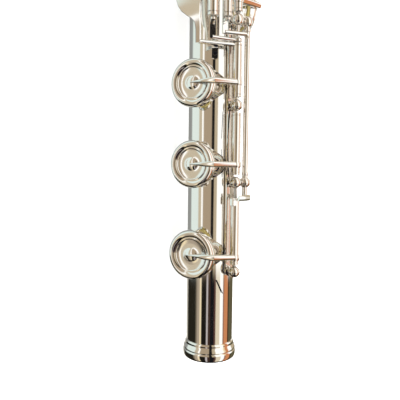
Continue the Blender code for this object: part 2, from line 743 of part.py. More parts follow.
def build_d_sharp_key():
    rod = (FOOT_ROD_ANGLE, ROD_RADIUS)
    name = "d_sharp_key"
    first = FOOT_POSTS[3] + KEY_CLEARANCE
    last = SOCKET_POST - KEY_CLEARANCE
    body, felt = key(name, D_SHARP_CUP, D_SHARP_CUP_ANGLE, rod[0], BODY_CUP_RADIUS, first, last)
    level = TUBE_RADIUS + TOUCH_STANDOFF - TOUCH_DROP
    frame = facing(D_SHARP_TOUCH, D_SHARP_TOUCH_ANGLE, level) @ Matrix.Rotation(-90 * DEG, 4, "Z")
    frame = frame @ Matrix.Translation((-D_SHARP_TOUCH_LENGTH / 2, 0, 0))
    outline = teardrop(D_SHARP_TOUCH_LENGTH, D_SHARP_TOUCH_WIDTH)
    touch = plate(name + "_touch", outline, TOUCH_THICKNESS, frame)
    reach = (D_SHARP_TOUCH_ANGLE + 14 * DEG, level + 0.4 * MM)
    join(body, lever(name + "_lever", D_SHARP_TOUCH, rod, reach), touch)
    cut(body, hinge_bore(name, first, last, rod[0]))
    keep(body, PLATED)
    hang([body, felt], on_tube(C_KEY, *rod), 0)
    fix(steel("d_sharp_key_steel", FOOT_POSTS[3] + RUNNING_GAP, SOCKET_POST + STEEL_OVERHANG, rod[0]))


def build_body_tube():
    start = FOOT_LENGTH - SOCKET_DEPTH + 1.2 * MM
    tube = centred("body_tube", start, BODY_TOP, TUBE_RADIUS)
    row = [
        ("d", D_KEY, 0, BODY_HOLE_RADIUS),
        ("e", E_KEY, 0, BODY_HOLE_RADIUS),
        ("f", F_KEY, 0, BODY_HOLE_RADIUS),
        ("f_sharp", F_SHARP_KEY, 0, BODY_HOLE_RADIUS),
        ("g_sharp", G_SHARP_KEY, G_SHARP_CUP_ANGLE, BODY_HOLE_RADIUS),
        ("g", G_KEY, 0, BODY_HOLE_RADIUS),
        ("a", A_KEY, 0, BODY_HOLE_RADIUS),
        ("b_flat", B_FLAT_KEY, 0, BODY_HOLE_RADIUS),
        ("thumb_b_flat", THUMB_B_FLAT_KEY, THUMB_CUP_ANGLE, BODY_HOLE_RADIUS),
        ("thumb_b", THUMB_B_KEY, THUMB_CUP_ANGLE, BODY_HOLE_RADIUS),
        ("c_sharp", C_SHARP_UPPER_KEY, 0, SMALL_HOLE_RADIUS),
        ("d_trill", D_TRILL_KEY, 0, SMALL_HOLE_RADIUS),
        ("d_sharp_trill", D_SHARP_TRILL_KEY, 0, SMALL_HOLE_RADIUS),
    ]
    places = [(label, FOOT_LENGTH + up, angle, radius) for label, up, angle, radius in row]
    chimneys, cutters = holes("body", places)
    join(tube, *chimneys)
    cut(tube, centred("body_bore", start - 5 * MM, BODY_TOP + 5 * MM, BORE_RADIUS), *cutters)
    keep(tube, PLATED)
    inner = COLLAR_RADIUS
    outer = inner + BARREL_WALL
    bead = 0.5 * MM
    outline = [
        (inner, BARREL_LENGTH),
        (outer, BARREL_LENGTH),
        (outer + bead, BARREL_LENGTH - 0.8 * MM),
        (outer + bead, BARREL_LENGTH - 2.4 * MM),
        (outer, BARREL_LENGTH - 3.2 * MM),
        (outer, 3.2 * MM),
        (outer + bead, 2.4 * MM),
        (outer + bead, 0.8 * MM),
        (outer, 0),
        (inner, 0),
    ]
    upright = Matrix.Translation(on_tube(BARREL_START, 0, 0)) @ Matrix.Rotation(-90 * DEG, 4, "Y")
    barrel = keep(turned("barrel", outline, upright, TUBE_SIDES), PLATED)
    fix(tube, barrel)


def shifted(stations):
    return tuple(FOOT_LENGTH + station for station in stations)


def build_body_ribs():
    lower = shifted(BODY_POSTS)
    upper = shifted(UPPER_POSTS)
    thumb = shifted(THUMB_POSTS)
    g_sharp = shifted(G_SHARP_POSTS)
    trill = shifted(TRILL_POSTS)
    middle_hole = TRILL_HINGE_RADIUS + RUNNING_GAP
    fix(
        rib("lower_rib", lower, BODY_ROD_ANGLE),
        rib("upper_rib", upper, BODY_ROD_ANGLE),
        rib("thumb_rib", thumb, THUMB_ROD_ANGLE),
        rib("trill_rib", trill, TRILL_ROD_ANGLE, (STEEL_BORE, middle_hole, STEEL_BORE)),
        rib("g_sharp_rib", g_sharp, G_SHARP_ROD_ANGLE),
        steel("lower_steel", lower[0] - STEEL_OVERHANG, lower[-1] + STEEL_OVERHANG, BODY_ROD_ANGLE),
        steel("upper_steel", upper[0] - STEEL_OVERHANG, upper[-1] + STEEL_OVERHANG, BODY_ROD_ANGLE),
        steel("thumb_steel", thumb[0] - STEEL_OVERHANG, thumb[-1] + STEEL_OVERHANG, THUMB_ROD_ANGLE),
        steel("g_sharp_steel", g_sharp[0] - STEEL_OVERHANG, g_sharp[-1] + STEEL_OVERHANG, G_SHARP_ROD_ANGLE),
    )


def plain_key(name, station, first, last, cup_angle=0.0, rod_angle=BODY_ROD_ANGLE, lift=BODY_LIFT):
    """A key whose finger touch is the cup itself."""
    station += FOOT_LENGTH
    body, felt = key(name, station, cup_angle, rod_angle, BODY_CUP_RADIUS, first, last)
    cut(body, hinge_bore(name, first, last, rod_angle))
    keep(body, PLATED)
    hang([body, felt], on_tube(station, rod_angle, ROD_RADIUS), lift)


def build_body_keys():
    lower = shifted(BODY_POSTS)
    upper = shifted(UPPER_POSTS)
    thumb = shifted(THUMB_POSTS)
    g_sharp = shifted(G_SHARP_POSTS)
    gap = RUNNING_GAP / 2
    split = FOOT_LENGTH + (D_KEY + E_KEY) / 2
    plain_key("d_key", D_KEY, lower[0] + KEY_CLEARANCE, split - gap)
    plain_key("e_key", E_KEY, split + gap, lower[1] - KEY_CLEARANCE)
    split = FOOT_LENGTH + (F_KEY + F_SHARP_KEY) / 2
    plain_key("f_key", F_KEY, lower[1] + KEY_CLEARANCE, split - gap)
    plain_key("f_sharp_key", F_SHARP_KEY, split + gap, lower[2] - KEY_CLEARANCE)
    split = FOOT_LENGTH + (G_KEY + A_KEY) / 2
    plain_key("g_key", G_KEY, upper[0] + KEY_CLEARANCE, split - gap)
    plain_key("a_key", A_KEY, split + gap, upper[1] - KEY_CLEARANCE)
    split = FOOT_LENGTH + (B_FLAT_KEY + INDEX_TOUCH) / 2
    plain_key("b_flat_key", B_FLAT_KEY, upper[1] + KEY_CLEARANCE, split - gap)
    thumb_rest = (THUMB_CUP_ANGLE, THUMB_ROD_ANGLE, -BODY_LIFT)
    plain_key("thumb_b_flat_key", THUMB_B_FLAT_KEY, thumb[0] + KEY_CLEARANCE, thumb[1] - KEY_CLEARANCE, *thumb_rest)
    plain_key("thumb_b_key", THUMB_B_KEY, thumb[1] + KEY_CLEARANCE, thumb[2] - KEY_CLEARANCE, *thumb_rest)

    name = "c_sharp_upper_key"
    first = split + gap
    last = upper[2] - KEY_CLEARANCE
    station = FOOT_LENGTH + C_SHARP_UPPER_KEY
    body, felt = key(name, station, 0, BODY_ROD_ANGLE, SMALL_CUP_RADIUS, first, last)
    touch = FOOT_LENGTH + INDEX_TOUCH
    frame = facing(touch, 0, SEAT_RADIUS)
    disc = cylinder(
        name + "_touch",
        on_tube(touch, 0, SEAT_RADIUS + CUP_FLOOR),
        on_tube(touch, 0, SEAT_RADIUS + CUP_TOP),
        BODY_CUP_RADIUS * 0.92,
        CUP_SIDES,
    )
    rod = on_tube(touch, BODY_ROD_ANGLE, ROD_RADIUS)
    join(body, *pointed_arm(name + "_touch_arm", frame, rod, BODY_CUP_RADIUS), disc)
    cut(body, hinge_bore(name, first, last, BODY_ROD_ANGLE))
    keep(body, PLATED)
    hang([body, felt], on_tube(station, BODY_ROD_ANGLE, ROD_RADIUS), BODY_LIFT)

    name = "g_sharp_key"
    first = g_sharp[0] + KEY_CLEARANCE
    last = g_sharp[1] - KEY_CLEARANCE
    station = FOOT_LENGTH + G_SHARP_KEY
    body, felt = key(name, station, G_SHARP_CUP_ANGLE, G_SHARP_ROD_ANGLE, BODY_CUP_RADIUS, first, last)
    reach = (-44 * DEG, TUBE_RADIUS + TOUCH_STANDOFF)
    arm = lever(name + "_lever", station, (G_SHARP_ROD_ANGLE, ROD_RADIUS), reach, 2.2 * MM)
    frame = facing(station, -50 * DEG, reach[1]) @ Matrix.Rotation(-90 * DEG, 4, "Z")
    frame = frame @ Matrix.Translation((-9 * MM, 0, 0))
    touch = plate(name + "_touch", teardrop(14 * MM, 10 * MM), TOUCH_THICKNESS, frame)
    join(body, arm, touch)
    cut(body, hinge_bore(name, first, last, G_SHARP_ROD_ANGLE))
    keep(body, PLATED)
    hang([body, felt], on_tube(station, G_SHARP_ROD_ANGLE, ROD_RADIUS), 0)


def route_arm(name, station, points, width):
    """Flat bars joined end to end at one station, through (angle, radius) places."""
    return [
        lever(f"{name}_{index}", station, start, end, width)
        for index, (start, end) in enumerate(zip(points, points[1:]))
    ]


def trill_parts(name, cup_station, touch_station):
    """Cup, pad, the arm that arches over the main rod, and the touch outside it, drawn shut."""
    seat = facing(cup_station, 0, SEAT_RADIUS)
    body = cup(name, seat, SMALL_CUP_RADIUS)
    rod = (TRILL_ROD_ANGLE, ROD_RADIUS)
    arch = (BODY_ROD_ANGLE, ROD_RADIUS + TRILL_ARCH)
    top = SEAT_RADIUS + CUP_TOP
    shoulder = (-math.atan2(SMALL_CUP_RADIUS + ARM_CLEARANCE, top), top + ARM_CLEARANCE)
    tip = (0, SEAT_RADIUS + CUP_FACE + ARM_HEIGHT / 2 + ARM_STEP)
    outward = (BODY_ROD_ANGLE, ROD_RADIUS + TRILL_TOUCH_STANDOFF)
    spatula = block(name + "_touch", facing(touch_station, *outward), (5.0 * MM, 8.0 * MM, 1.5 * MM))
    join(
        body,
        *route_arm(name + "_arm", cup_station, (rod, arch, shoulder, tip), LEVER_WIDTH),
        *route_arm(name + "_lever", touch_station, (rod, outward), LEVER_WIDTH),
        spatula,
    )
    return body, pad(name.replace("_key", "") + "_pad", seat, SMALL_CUP_RADIUS)


def build_trill_keys():
    posts = shifted(TRILL_POSTS)
    d_cup = FOOT_LENGTH + D_TRILL_KEY
    sharp_cup = FOOT_LENGTH + D_SHARP_TRILL_KEY
    d_touch = FOOT_LENGTH + D_TRILL_TOUCH
    sharp_touch = FOOT_LENGTH + D_SHARP_TRILL_TOUCH
    rod = (TRILL_ROD_ANGLE, ROD_RADIUS)
    pivot = on_tube(d_cup, *rod)
    first = d_touch - 3 * MM
    last = (d_cup + sharp_cup) / 2 - RUNNING_GAP
    body, felt = trill_parts("d_trill_key", d_cup, d_touch)
    join(body, along_tube("d_trill_key_tube", first, last, *rod, TRILL_HINGE_RADIUS))
    cut(body, hinge_bore("d_trill_key", first, last, TRILL_ROD_ANGLE))
    keep(body, PLATED)
    hang([body, felt], pivot, 0)
    name = "d_sharp_trill_key"
    body, felt = trill_parts(name, sharp_cup, sharp_touch)
    upper = (last + 2 * RUNNING_GAP, posts[2] - KEY_CLEARANCE)
    lower = (posts[0] + KEY_CLEARANCE, first - 2 * RUNNING_GAP)
    span = (posts[0] - STEEL_OVERHANG, posts[2] + STEEL_OVERHANG)
    join(
        body,
        along_tube(name + "_upper", *upper, *rod, TRILL_HINGE_RADIUS),
        along_tube(name + "_lower", *lower, *rod, TRILL_HINGE_RADIUS),
        along_tube(name + "_core", *span, *rod, STEEL_RADIUS),
    )
    keep(body, PLATED)
    hang([body, felt], pivot, 0)


def prism(name, length, width, low, high, sides=24):
    """An upright oval bar over the embouchure, between two heights above the tube's axis."""
    shape = bmesh.new()
    bmesh.ops.create_cone(shape, cap_ends=True, segments=sides, radius1=1, radius2=1, depth=1)
    centre = on_tube(EMBOUCHURE, 0, (low + high) / 2)
    size = Matrix.Diagonal((length / 2, width / 2, high - low, 1))
    shape.transform(Matrix.Translation(centre) @ size)
    return add_mesh(name, shape)


def build_head():
    start = BODY_TOP + 1.0 * MM
    lip_low = LIP_RADIUS - LIP_THICKNESS
    tube = centred("head_tube", start, CROWN_START, TUBE_RADIUS, TUBE_SIDES, HEAD_END_RADIUS)
    past = 5 * MM
    bore = centred(
        "head_bore", start - past, CROWN_START + past, BORE_RADIUS, TUBE_SIDES, HEAD_END_RADIUS - TUBE_WALL
    )
    hole_size = (EMBOUCHURE_LENGTH, EMBOUCHURE_WIDTH)
    cut(tube, bore, prism("tube_hole", *hole_size, 0, 2 * LIP_RADIUS))
    keep(tube, PLATED)

    lip = centred("lip_plate", EMBOUCHURE - LIP_LENGTH, EMBOUCHURE + LIP_LENGTH, LIP_RADIUS, 36)
    inside = centred("lip_inside", EMBOUCHURE - 2 * LIP_LENGTH, EMBOUCHURE + 2 * LIP_LENGTH, lip_low, 36)
    oval = prism("lip_oval", LIP_LENGTH, LIP_WIDTH, 2 * MM, 2 * LIP_RADIUS, 32)
    cut(lip, inside)
    boolean(lip, oval, "INTERSECT")
    cut(lip, prism("lip_hole", *hole_size, 0, 3 * LIP_RADIUS))
    keep(lip, PLATED)

    wide = (EMBOUCHURE_LENGTH + 2 * RISER_WALL, EMBOUCHURE_WIDTH + 2 * RISER_WALL)
    riser = prism("riser", *wide, 5 * MM, LIP_RADIUS)
    under = centred("riser_under", EMBOUCHURE - 30 * MM, EMBOUCHURE + 30 * MM, TUBE_RADIUS + 0.05 * MM)
    cap = centred("riser_cap", EMBOUCHURE - 30 * MM, EMBOUCHURE + 30 * MM, lip_low - FIT_GAP, 36)
    cut(riser, under, prism("riser_hole", *hole_size, 0, 2 * LIP_RADIUS))
    boolean(riser, cap, "INTERSECT")
    keep(riser, PLATED)
    fix(tube, lip, riser)


def build_crown_and_stopper():
    wall_radius = HEAD_END_RADIUS - TUBE_WALL
    frame = Matrix.Translation(on_tube(CROWN_START, 0, 0)) @ Matrix.Rotation(-90 * DEG, 4, "Y")
    plug = wall_radius - FIT_GAP
    thread = STOPPER_SCREW_RADIUS + FIT_GAP
    depth = 5.5 * MM
    outline = [
        (0, CROWN_LENGTH),
        (0.45 * CROWN_RADIUS, 0.96 * CROWN_LENGTH),
        (0.80 * CROWN_RADIUS, 0.82 * CROWN_LENGTH),
        (0.97 * CROWN_RADIUS, 0.62 * CROWN_LENGTH),
        (CROWN_RADIUS, 0.40 * CROWN_LENGTH),
        (CROWN_RADIUS, 0.12 * CROWN_LENGTH),
        (CROWN_RADIUS - 0.4 * MM, FIT_GAP),
        (plug, FIT_GAP),
        (plug, -depth),
        (thread, -depth),
        (thread, 0.45 * CROWN_LENGTH),
        (0, 0.45 * CROWN_LENGTH),
    ]
    crown = keep(turned("crown", outline, frame, TUBE_SIDES), PLATED)
    front = EMBOUCHURE + STOPPER_SETBACK
    span = (front, front + STOPPER_LENGTH)
    taper = (HEAD_END_RADIUS - TUBE_RADIUS) / (CROWN_START - BODY_TOP)
    radius = TUBE_RADIUS + taper * (span[1] - BODY_TOP) - TUBE_WALL - FIT_GAP
    cork = centred("stopper_cork", span[0] + 1.6 * MM, span[1] - 1.6 * MM, radius)
    past = 5 * MM
    hole = centred("cork_hole", span[0] - past, span[1] + past, thread, 12)
    cut(cork, hole)
    keep(cork, BARK)
    screw_end = CROWN_START + 0.45 * CROWN_LENGTH - 1.5 * MM
    screw = centred("stopper_screw", span[0] + 0.4 * MM, screw_end, STOPPER_SCREW_RADIUS, 12)
    front_plate = centred("stopper_front_plate", span[0], span[0] + 1.2 * MM, radius - 0.2 * MM)
    back_plate = centred("stopper_back_plate", span[1] - 1.2 * MM, span[1], radius - 0.2 * MM)
    join(screw, front_plate, back_plate)
    keep(screw, PLATED)
    fix(crown, cork, screw)


def settle():
    """Puts the middle of the underside of the whole flute at the origin."""
    bpy.context.view_layer.update()
    graph = bpy.context.evaluated_depsgraph_get()
    low = Vector((math.inf,) * 3)
    high = Vector((-math.inf,) * 3)
    for part in PARTS.objects:
        shape = part.evaluated_get(graph)
        for corner in shape.data.vertices:
            place = shape.matrix_world @ corner.co
            low = Vector(map(min, low, place))
            high = Vector(map(max, high, place))
    FLUTE.location = (-(low.x + high.x) / 2, -(low.y + high.y) / 2, -low.z)


clear_scene()
PARTS = new_collection("concert_flute")
TOOLS = new_collection("flute_tools")
PLATED = material("silver_plate", SILVER, 0.08, 1.0)
FELT = material("pad_skin", PAD_SKIN, 0.55, 0.0)
BARK = material("cork", CORK, 0.85, 0.0)
RODS = material("steel", STEEL, 0.2, 1.0)
FLUTE = bpy.data.objects.new("flute_axis", None)
TOOLS.objects.link(FLUTE)

build_foot()
build_foot_rib()
build_b_key()
build_c_key()
build_c_sharp_key()
build_b_lever()
build_d_sharp_key()
build_body_tube()
build_body_ribs()
build_body_keys()
build_trill_keys()
build_head()
build_crown_and_stopper()
settle()
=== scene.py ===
"""Looks for a concert flute with a B foot: smooth plated tubes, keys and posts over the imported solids.

The row frame has +X towards the open foot end and +Z up out of the body keys. A station is a distance
from the foot end, and an angle is taken around the tube from +Z, positive towards +Y.
"""

import json
import math

import bmesh
import bpy
from mathutils import Matrix, Vector


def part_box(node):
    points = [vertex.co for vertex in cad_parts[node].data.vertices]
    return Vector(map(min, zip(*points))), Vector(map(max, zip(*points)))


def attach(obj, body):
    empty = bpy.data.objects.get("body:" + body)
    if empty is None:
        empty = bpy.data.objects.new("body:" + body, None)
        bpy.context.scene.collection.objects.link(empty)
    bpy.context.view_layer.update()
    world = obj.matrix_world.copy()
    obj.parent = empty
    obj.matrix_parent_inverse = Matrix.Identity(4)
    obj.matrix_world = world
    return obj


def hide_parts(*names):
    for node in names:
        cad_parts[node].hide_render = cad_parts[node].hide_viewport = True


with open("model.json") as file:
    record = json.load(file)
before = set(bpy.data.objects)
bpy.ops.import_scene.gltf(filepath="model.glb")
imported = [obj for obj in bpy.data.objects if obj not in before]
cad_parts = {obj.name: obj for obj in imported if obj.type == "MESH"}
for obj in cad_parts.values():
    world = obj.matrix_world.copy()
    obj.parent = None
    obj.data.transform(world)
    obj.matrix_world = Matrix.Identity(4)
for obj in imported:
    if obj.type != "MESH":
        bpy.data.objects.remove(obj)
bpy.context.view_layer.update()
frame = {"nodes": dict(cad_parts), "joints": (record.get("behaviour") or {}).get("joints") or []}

MM = 0.001
DEG = math.pi / 180
JOINTS = {joint["name"]: joint for joint in frame["joints"]}
AXIS = Vector(JOINTS["foot_turn"]["pos_m"])
ALONG = Vector((1, 0, 0))

# Tube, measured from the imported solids
TUBE_RADIUS = 9.88 * MM
BORE_RADIUS = 9.46 * MM
SEAT_RADIUS = 11.93 * MM
ROD_RADIUS = 14.0 * MM
HINGE_RADIUS = 1.85 * MM
BALL_RADIUS = 2.4 * MM
STEEL_RADIUS = 0.75 * MM
FOOT_LENGTH = 171.5 * MM
BODY_TOP = 469.5 * MM
EMBOUCHURE = 646.0 * MM
PAD_LOW = 0.32 * MM
PAD_HIGH = 2.22 * MM
CUP_FLOOR = 2.54 * MM
CUP_FACE = 3.14 * MM
CUP_TOP = 4.24 * MM
GAP = 0.32 * MM

# Angles around the tube
FOOT_ROD = 2 * DEG
FOOT_CUP = -76 * DEG
OUTER_ROD = 2 * DEG + 3.3 / 9.88
BODY_ROD = -62 * DEG
THUMB_ROD = -114 * DEG
THUMB_CUP = -176 * DEG
TRILL_ROD = -88 * DEG
SIDE_CUP = 66 * DEG


# Places

def on_tube(station, angle, radius):
    return AXIS + Vector((-station, radius * math.sin(angle), radius * math.cos(angle)))


def facing(station, angle, radius):
    """Z points away from the tube at that angle, and X along the tube to the foot end."""
    out = Vector((0, math.sin(angle), math.cos(angle)))
    turned = Matrix((ALONG, out.cross(ALONG), out)).transposed().to_4x4()
    return Matrix.Translation(on_tube(station, angle, radius)) @ turned


def aimed(start, end):
    """Z runs from start to end, and Y lies along the tube unless the run itself does."""
    run = (end - start).normalized()
    along = Vector((0, 0, 1)) if abs(run.x) > 0.9 else ALONG
    side = (along - run * along.dot(run)).normalized()
    turned = Matrix((side.cross(run), side, run)).transposed().to_4x4()
    return Matrix.Translation(start) @ turned


def box_span(node):
    """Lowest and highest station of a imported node."""
    low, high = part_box(node)
    return AXIS.x - high.x, AXIS.x - low.x


def box_middle(node):
    low, high = box_span(node)
    return (low + high) / 2


def rest(key, shut=False):
    """Where a key drawn shut lies at rest: turned about its hinge by its whole travel, or not at all."""
    joint = JOINTS[key + "_press"]
    if shut:
        return Matrix.Identity(4)
    pivot = Vector(joint["pos_m"])
    lift = -joint["axis"][0] * joint["range_deg"][1] * DEG
    turn = Matrix.Rotation(lift, 4, "X")
    return Matrix.Translation(pivot) @ turn @ Matrix.Translation(-pivot)


# Shapes

class Shape:
    """Closed shells gathered into one mesh."""

    def __init__(self):
        self.mesh = bmesh.new()

    def shell(self, rings, cap_first=True, cap_last=True, closed=False):
        """Skin over rings of points; a ring of one point is a pole."""
        made = [[self.mesh.verts.new(point) for point in ring] for ring in rings]
        pairs = list(zip(made, made[1:]))
        if closed:
            pairs.append((made[-1], made[0]))
        for first, last in pairs:
            count = max(len(first), len(last))
            for i in range(count):
                j = (i + 1) % count
                corners = [first[i % len(first)], first[j % len(first)]]
                corners += [last[j % len(last)], last[i % len(last)]]
                unique = list(dict.fromkeys(corners))
                if len(unique) > 2:
                    self.mesh.faces.new(unique)
        if not closed:
            if cap_first and len(made[0]) > 2:
                self.mesh.faces.new(made[0][::-1])
            if cap_last and len(made[-1]) > 2:
                self.mesh.faces.new(made[-1])
        return self

    def lathe(self, outline, place, sides=48):
        """A turned solid about the place's Z, from (radius, height) pairs."""
        rings = []
        for radius, height in outline:
            if radius <= 0:
                rings.append([place @ Vector((0, 0, height))])
                continue
            rings.append([
                place @ Vector((
                    radius * math.cos(2 * math.pi * i / sides),
                    radius * math.sin(2 * math.pi * i / sides),
                    height,
                ))
                for i in range(sides)
            ])
        return self.shell(rings, closed=outline[0][0] > 0 and outline[-1][0] > 0)

    def rod(self, start, end, radius, sides=28, edge=0.18 * MM, end_radius=None):
        """A round bar with a small chamfer on both ends."""
        length = (end - start).length
        last = radius if end_radius is None else end_radius
        edge = min(edge, length / 4)
        outline = [
            (0, 0), (radius - edge, 0), (radius, edge),
            (last, length - edge), (last - edge, length), (0, length),
        ]
        return self.lathe(outline, aimed(start, end), sides)

    def sleeve(self, first, last, angle, radius=HINGE_RADIUS, distance=ROD_RADIUS, bore=1.07 * MM):
        """A hinge tube between two stations, with a turned line near each end."""
        length = last - first
        edge = 0.16 * MM
        outline = [(bore, 0), (radius - edge, 0), (radius, edge)]
        if length > 8 * MM:
            for place in (1.1 * MM, length - 1.1 * MM):
                outline += [
                    (radius, place - 0.16 * MM), (radius - 0.14 * MM, place), (radius, place + 0.16 * MM),
                ]
        outline += [(radius, length - edge), (radius - edge, length), (bore, length)]
        place = aimed(on_tube(first, angle, distance), on_tube(last, angle, distance))
        return self.lathe(outline, place, 32)

    def collar(self, station, angle, radius, width, distance=ROD_RADIUS):
        """A rounded ring around a hinge tube, where an arm is soldered on."""
        outline = [(radius * 0.5, -width / 2)]
        for step in range(7):
            turn = (-90 + 30 * step) * DEG
            swell = radius - width * 0.22 * (1 - math.cos(turn))
            outline.append((swell, width / 2 * math.sin(turn)))
        outline.append((radius * 0.5, width / 2))
        place = aimed(on_tube(station, angle, distance), on_tube(station + MM, angle, distance))
        return self.lathe(outline, place, 32)

    def ball(self, centre, radius, sides=32):
        outline = []
        for step in range(17):
            turn = math.pi * step / 16
            outline.append((radius * math.sin(turn) if 0 < step < 16 else 0, radius * math.cos(turn)))
        return self.lathe(outline, Matrix.Translation(centre), sides)

    def sweep(self, points, widths, heights, side=ALONG, section=None):
        """A bar along points; width lies along the side vector, height across it, with bevelled edges."""
        section = section or [
            (-0.50, -0.42), (-0.50, 0.16), (-0.40, 0.34), (-0.14, 0.50),
            (0.14, 0.50), (0.40, 0.34), (0.50, 0.16), (0.50, -0.42), (0.40, -0.50), (-0.40, -0.50),
        ]
        rings = []
        for i, point in enumerate(points):
            before = points[max(i - 1, 0)]
            after = points[min(i + 1, len(points) - 1)]
            run = (after - before).normalized()
            up = run.cross(side).normalized()
            if up.dot(point - Vector((point.x, AXIS.y, AXIS.z))) < 0:
                up = -up
            across = up.cross(run).normalized()
            rings.append([
                point + across * (u * widths[i]) + up * (v * heights[i]) for u, v in section
            ])
        return self.shell(rings)

    def slab(self, outline, thickness, place, edge=0.3 * MM):
        """A flat plate with chamfered edges, from an outline of (x, y) points."""
        middle = sum((Vector(p) for p in outline), Vector((0, 0))) / len(outline)
        span = max((Vector(p) - middle).length for p in outline)
        shrink = 1 - edge / span
        levels = [
            (shrink, -thickness / 2), (1, -thickness / 2 + edge),
            (1, thickness / 2 - edge), (shrink, thickness / 2),
        ]
        rings = []
        for scale, height in levels:
            ring = [middle + (Vector(p) - middle) * scale for p in outline]
            rings.append([place @ Vector((p.x, p.y, height)) for p in ring])
        return self.shell(rings)

    def brick(self, place, size, centre=(0, 0, 0), edge=0.2 * MM):
        """A block with chamfered long edges."""
        x, y, z = (side / 2 for side in size)
        outline = [
            (-x, -y + edge), (-x + edge, -y), (x - edge, -y), (x, -y + edge),
            (x, y - edge), (x - edge, y), (-x + edge, y), (-x, y - edge),
        ]
        moved = place @ Matrix.Translation(centre)
        return self.slab(outline, 2 * z, moved, min(edge, z / 2))

    def turn(self, matrix):
        self.mesh.transform(matrix)
        return self

    def done(self, name, body, finish, *nodes, slot="silver_plate", angle=34):
        """The finished piece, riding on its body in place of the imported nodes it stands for."""
        bmesh.ops.recalc_face_normals(self.mesh, faces=self.mesh.faces)
        mesh = bpy.data.meshes.new(name)
        self.mesh.to_mesh(mesh)
        self.mesh.free()
        made = bpy.data.objects.new(name, mesh)
        bpy.context.scene.collection.objects.link(made)
        mesh.materials.append(finish)
        mesh.shade_smooth()
        mesh.set_sharp_from_angle(angle=angle * DEG)
        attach(made, body)
        if nodes:
            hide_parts(*nodes)
        return made


# Materials

def principled(name, colour, metallic, roughness):
    made = bpy.data.materials.new(name)
    made.use_nodes = True
    shader = made.node_tree.nodes["Principled BSDF"]
    shader.inputs["Base Color"].default_value = (*colour, 1)
    shader.inputs["Metallic"].default_value = metallic
    shader.inputs["Roughness"].default_value = roughness
    return made, made.node_tree, shader


def noise(tree, scale, detail=3.0, stretch=(1, 1, 1)):
    """A noise texture laid over the object in metres, stretched along its axes."""
    place = tree.nodes.new("ShaderNodeTexCoord")
    mapping = tree.nodes.new("ShaderNodeMapping")
    mapping.inputs["Scale"].default_value = stretch
    texture = tree.nodes.new("ShaderNodeTexNoise")
    texture.inputs["Scale"].default_value = scale
    texture.inputs["Detail"].default_value = detail
    tree.links.new(place.outputs["Object"], mapping.inputs["Vector"])
    tree.links.new(mapping.outputs["Vector"], texture.inputs["Vector"])
    return texture.outputs["Fac"]


def ramp(tree, source, stops):
    node = tree.nodes.new("ShaderNodeValToRGB")
    elements = node.color_ramp.elements
    while len(elements) < len(stops):
        elements.new(0.5)
    for element, (place, colour) in zip(elements, stops):
        element.position = place
        element.color = (*colour, 1) if len(colour) == 3 else colour
    tree.links.new(source, node.inputs["Fac"])
    return node.outputs["Color"]


def span(tree, source, low, high):
    node = tree.nodes.new("ShaderNodeMapRange")
    node.inputs["From Min"].default_value = 0.3
    node.inputs["From Max"].default_value = 0.7
    node.inputs["To Min"].default_value = low
    node.inputs["To Max"].default_value = high
    tree.links.new(source, node.inputs["Value"])
    return node.outputs["Result"]


def bump(tree, shader, source, strength, distance):
    node = tree.nodes.new("ShaderNodeBump")
    node.inputs["Strength"].default_value = strength
    node.inputs["Distance"].default_value = distance
    tree.links.new(source, node.inputs["Height"])
    tree.links.new(node.outputs["Normal"], shader.inputs["Normal"])


def silver_finish(name, clean, worn, rough_low, rough_high):
    """Polished plate with faint warm tarnish, wiping marks and uneven gloss."""
    made, tree, shader = principled(name, clean, 1.0, rough_low)
    tarnish = noise(tree, 55, 5.0)
    colour = ramp(tree, tarnish, [(0.42, clean), (0.62, clean), (0.80, worn)])
    tree.links.new(colour, shader.inputs["Base Color"])
    marks = noise(tree, 160, 4.0, (0.35, 1, 1))
    tree.links.new(span(tree, marks, rough_low, rough_high), shader.inputs["Roughness"])
    bump(tree, shader, noise(tree, 90, 2.0), 0.05, 0.00008)
    return made


SILVER = silver_finish("plated_silver", (0.93, 0.91, 0.875), (0.80, 0.73, 0.62), 0.035, 0.11)
KEYS = silver_finish("plated_keys", (0.95, 0.93, 0.90), (0.82, 0.75, 0.64), 0.06, 0.15)
STEEL, steel_tree, steel_shader = principled("ground_steel", (0.62, 0.61, 0.60), 1.0, 0.2)
steel_grain = noise(steel_tree, 300, 3.0, (0.1, 1, 1))
steel_tree.links.new(span(steel_tree, steel_grain, 0.16, 0.32), steel_shader.inputs["Roughness"])
BLUED, _, _ = principled("blued_spring", (0.035, 0.04, 0.06), 1.0, 0.28)
SKIN, skin_tree, skin_shader = principled("pad_skin", (0.80, 0.66, 0.24), 0.0, 0.48)
skin_stops = [(0.3, (0.70, 0.55, 0.16)), (0.7, (0.88, 0.76, 0.34))]
skin_tone = ramp(skin_tree, noise(skin_tree, 260, 4.0), skin_stops)
skin_tree.links.new(skin_tone, skin_shader.inputs["Base Color"])
bump(skin_tree, skin_shader, noise(skin_tree, 500, 3.0), 0.25, 0.0002)
CORK, cork_tree, cork_shader = principled("cork", (0.60, 0.42, 0.25), 0.0, 0.85)
cork_stops = [(0.35, (0.32, 0.19, 0.10)), (0.55, (0.66, 0.47, 0.29))]
cork_tone = ramp(cork_tree, noise(cork_tree, 700, 6.0), cork_stops)
cork_tree.links.new(cork_tone, cork_shader.inputs["Base Color"])
bump(cork_tree, cork_shader, noise(cork_tree, 700, 5.0), 0.5, 0.0003)


# Tubes

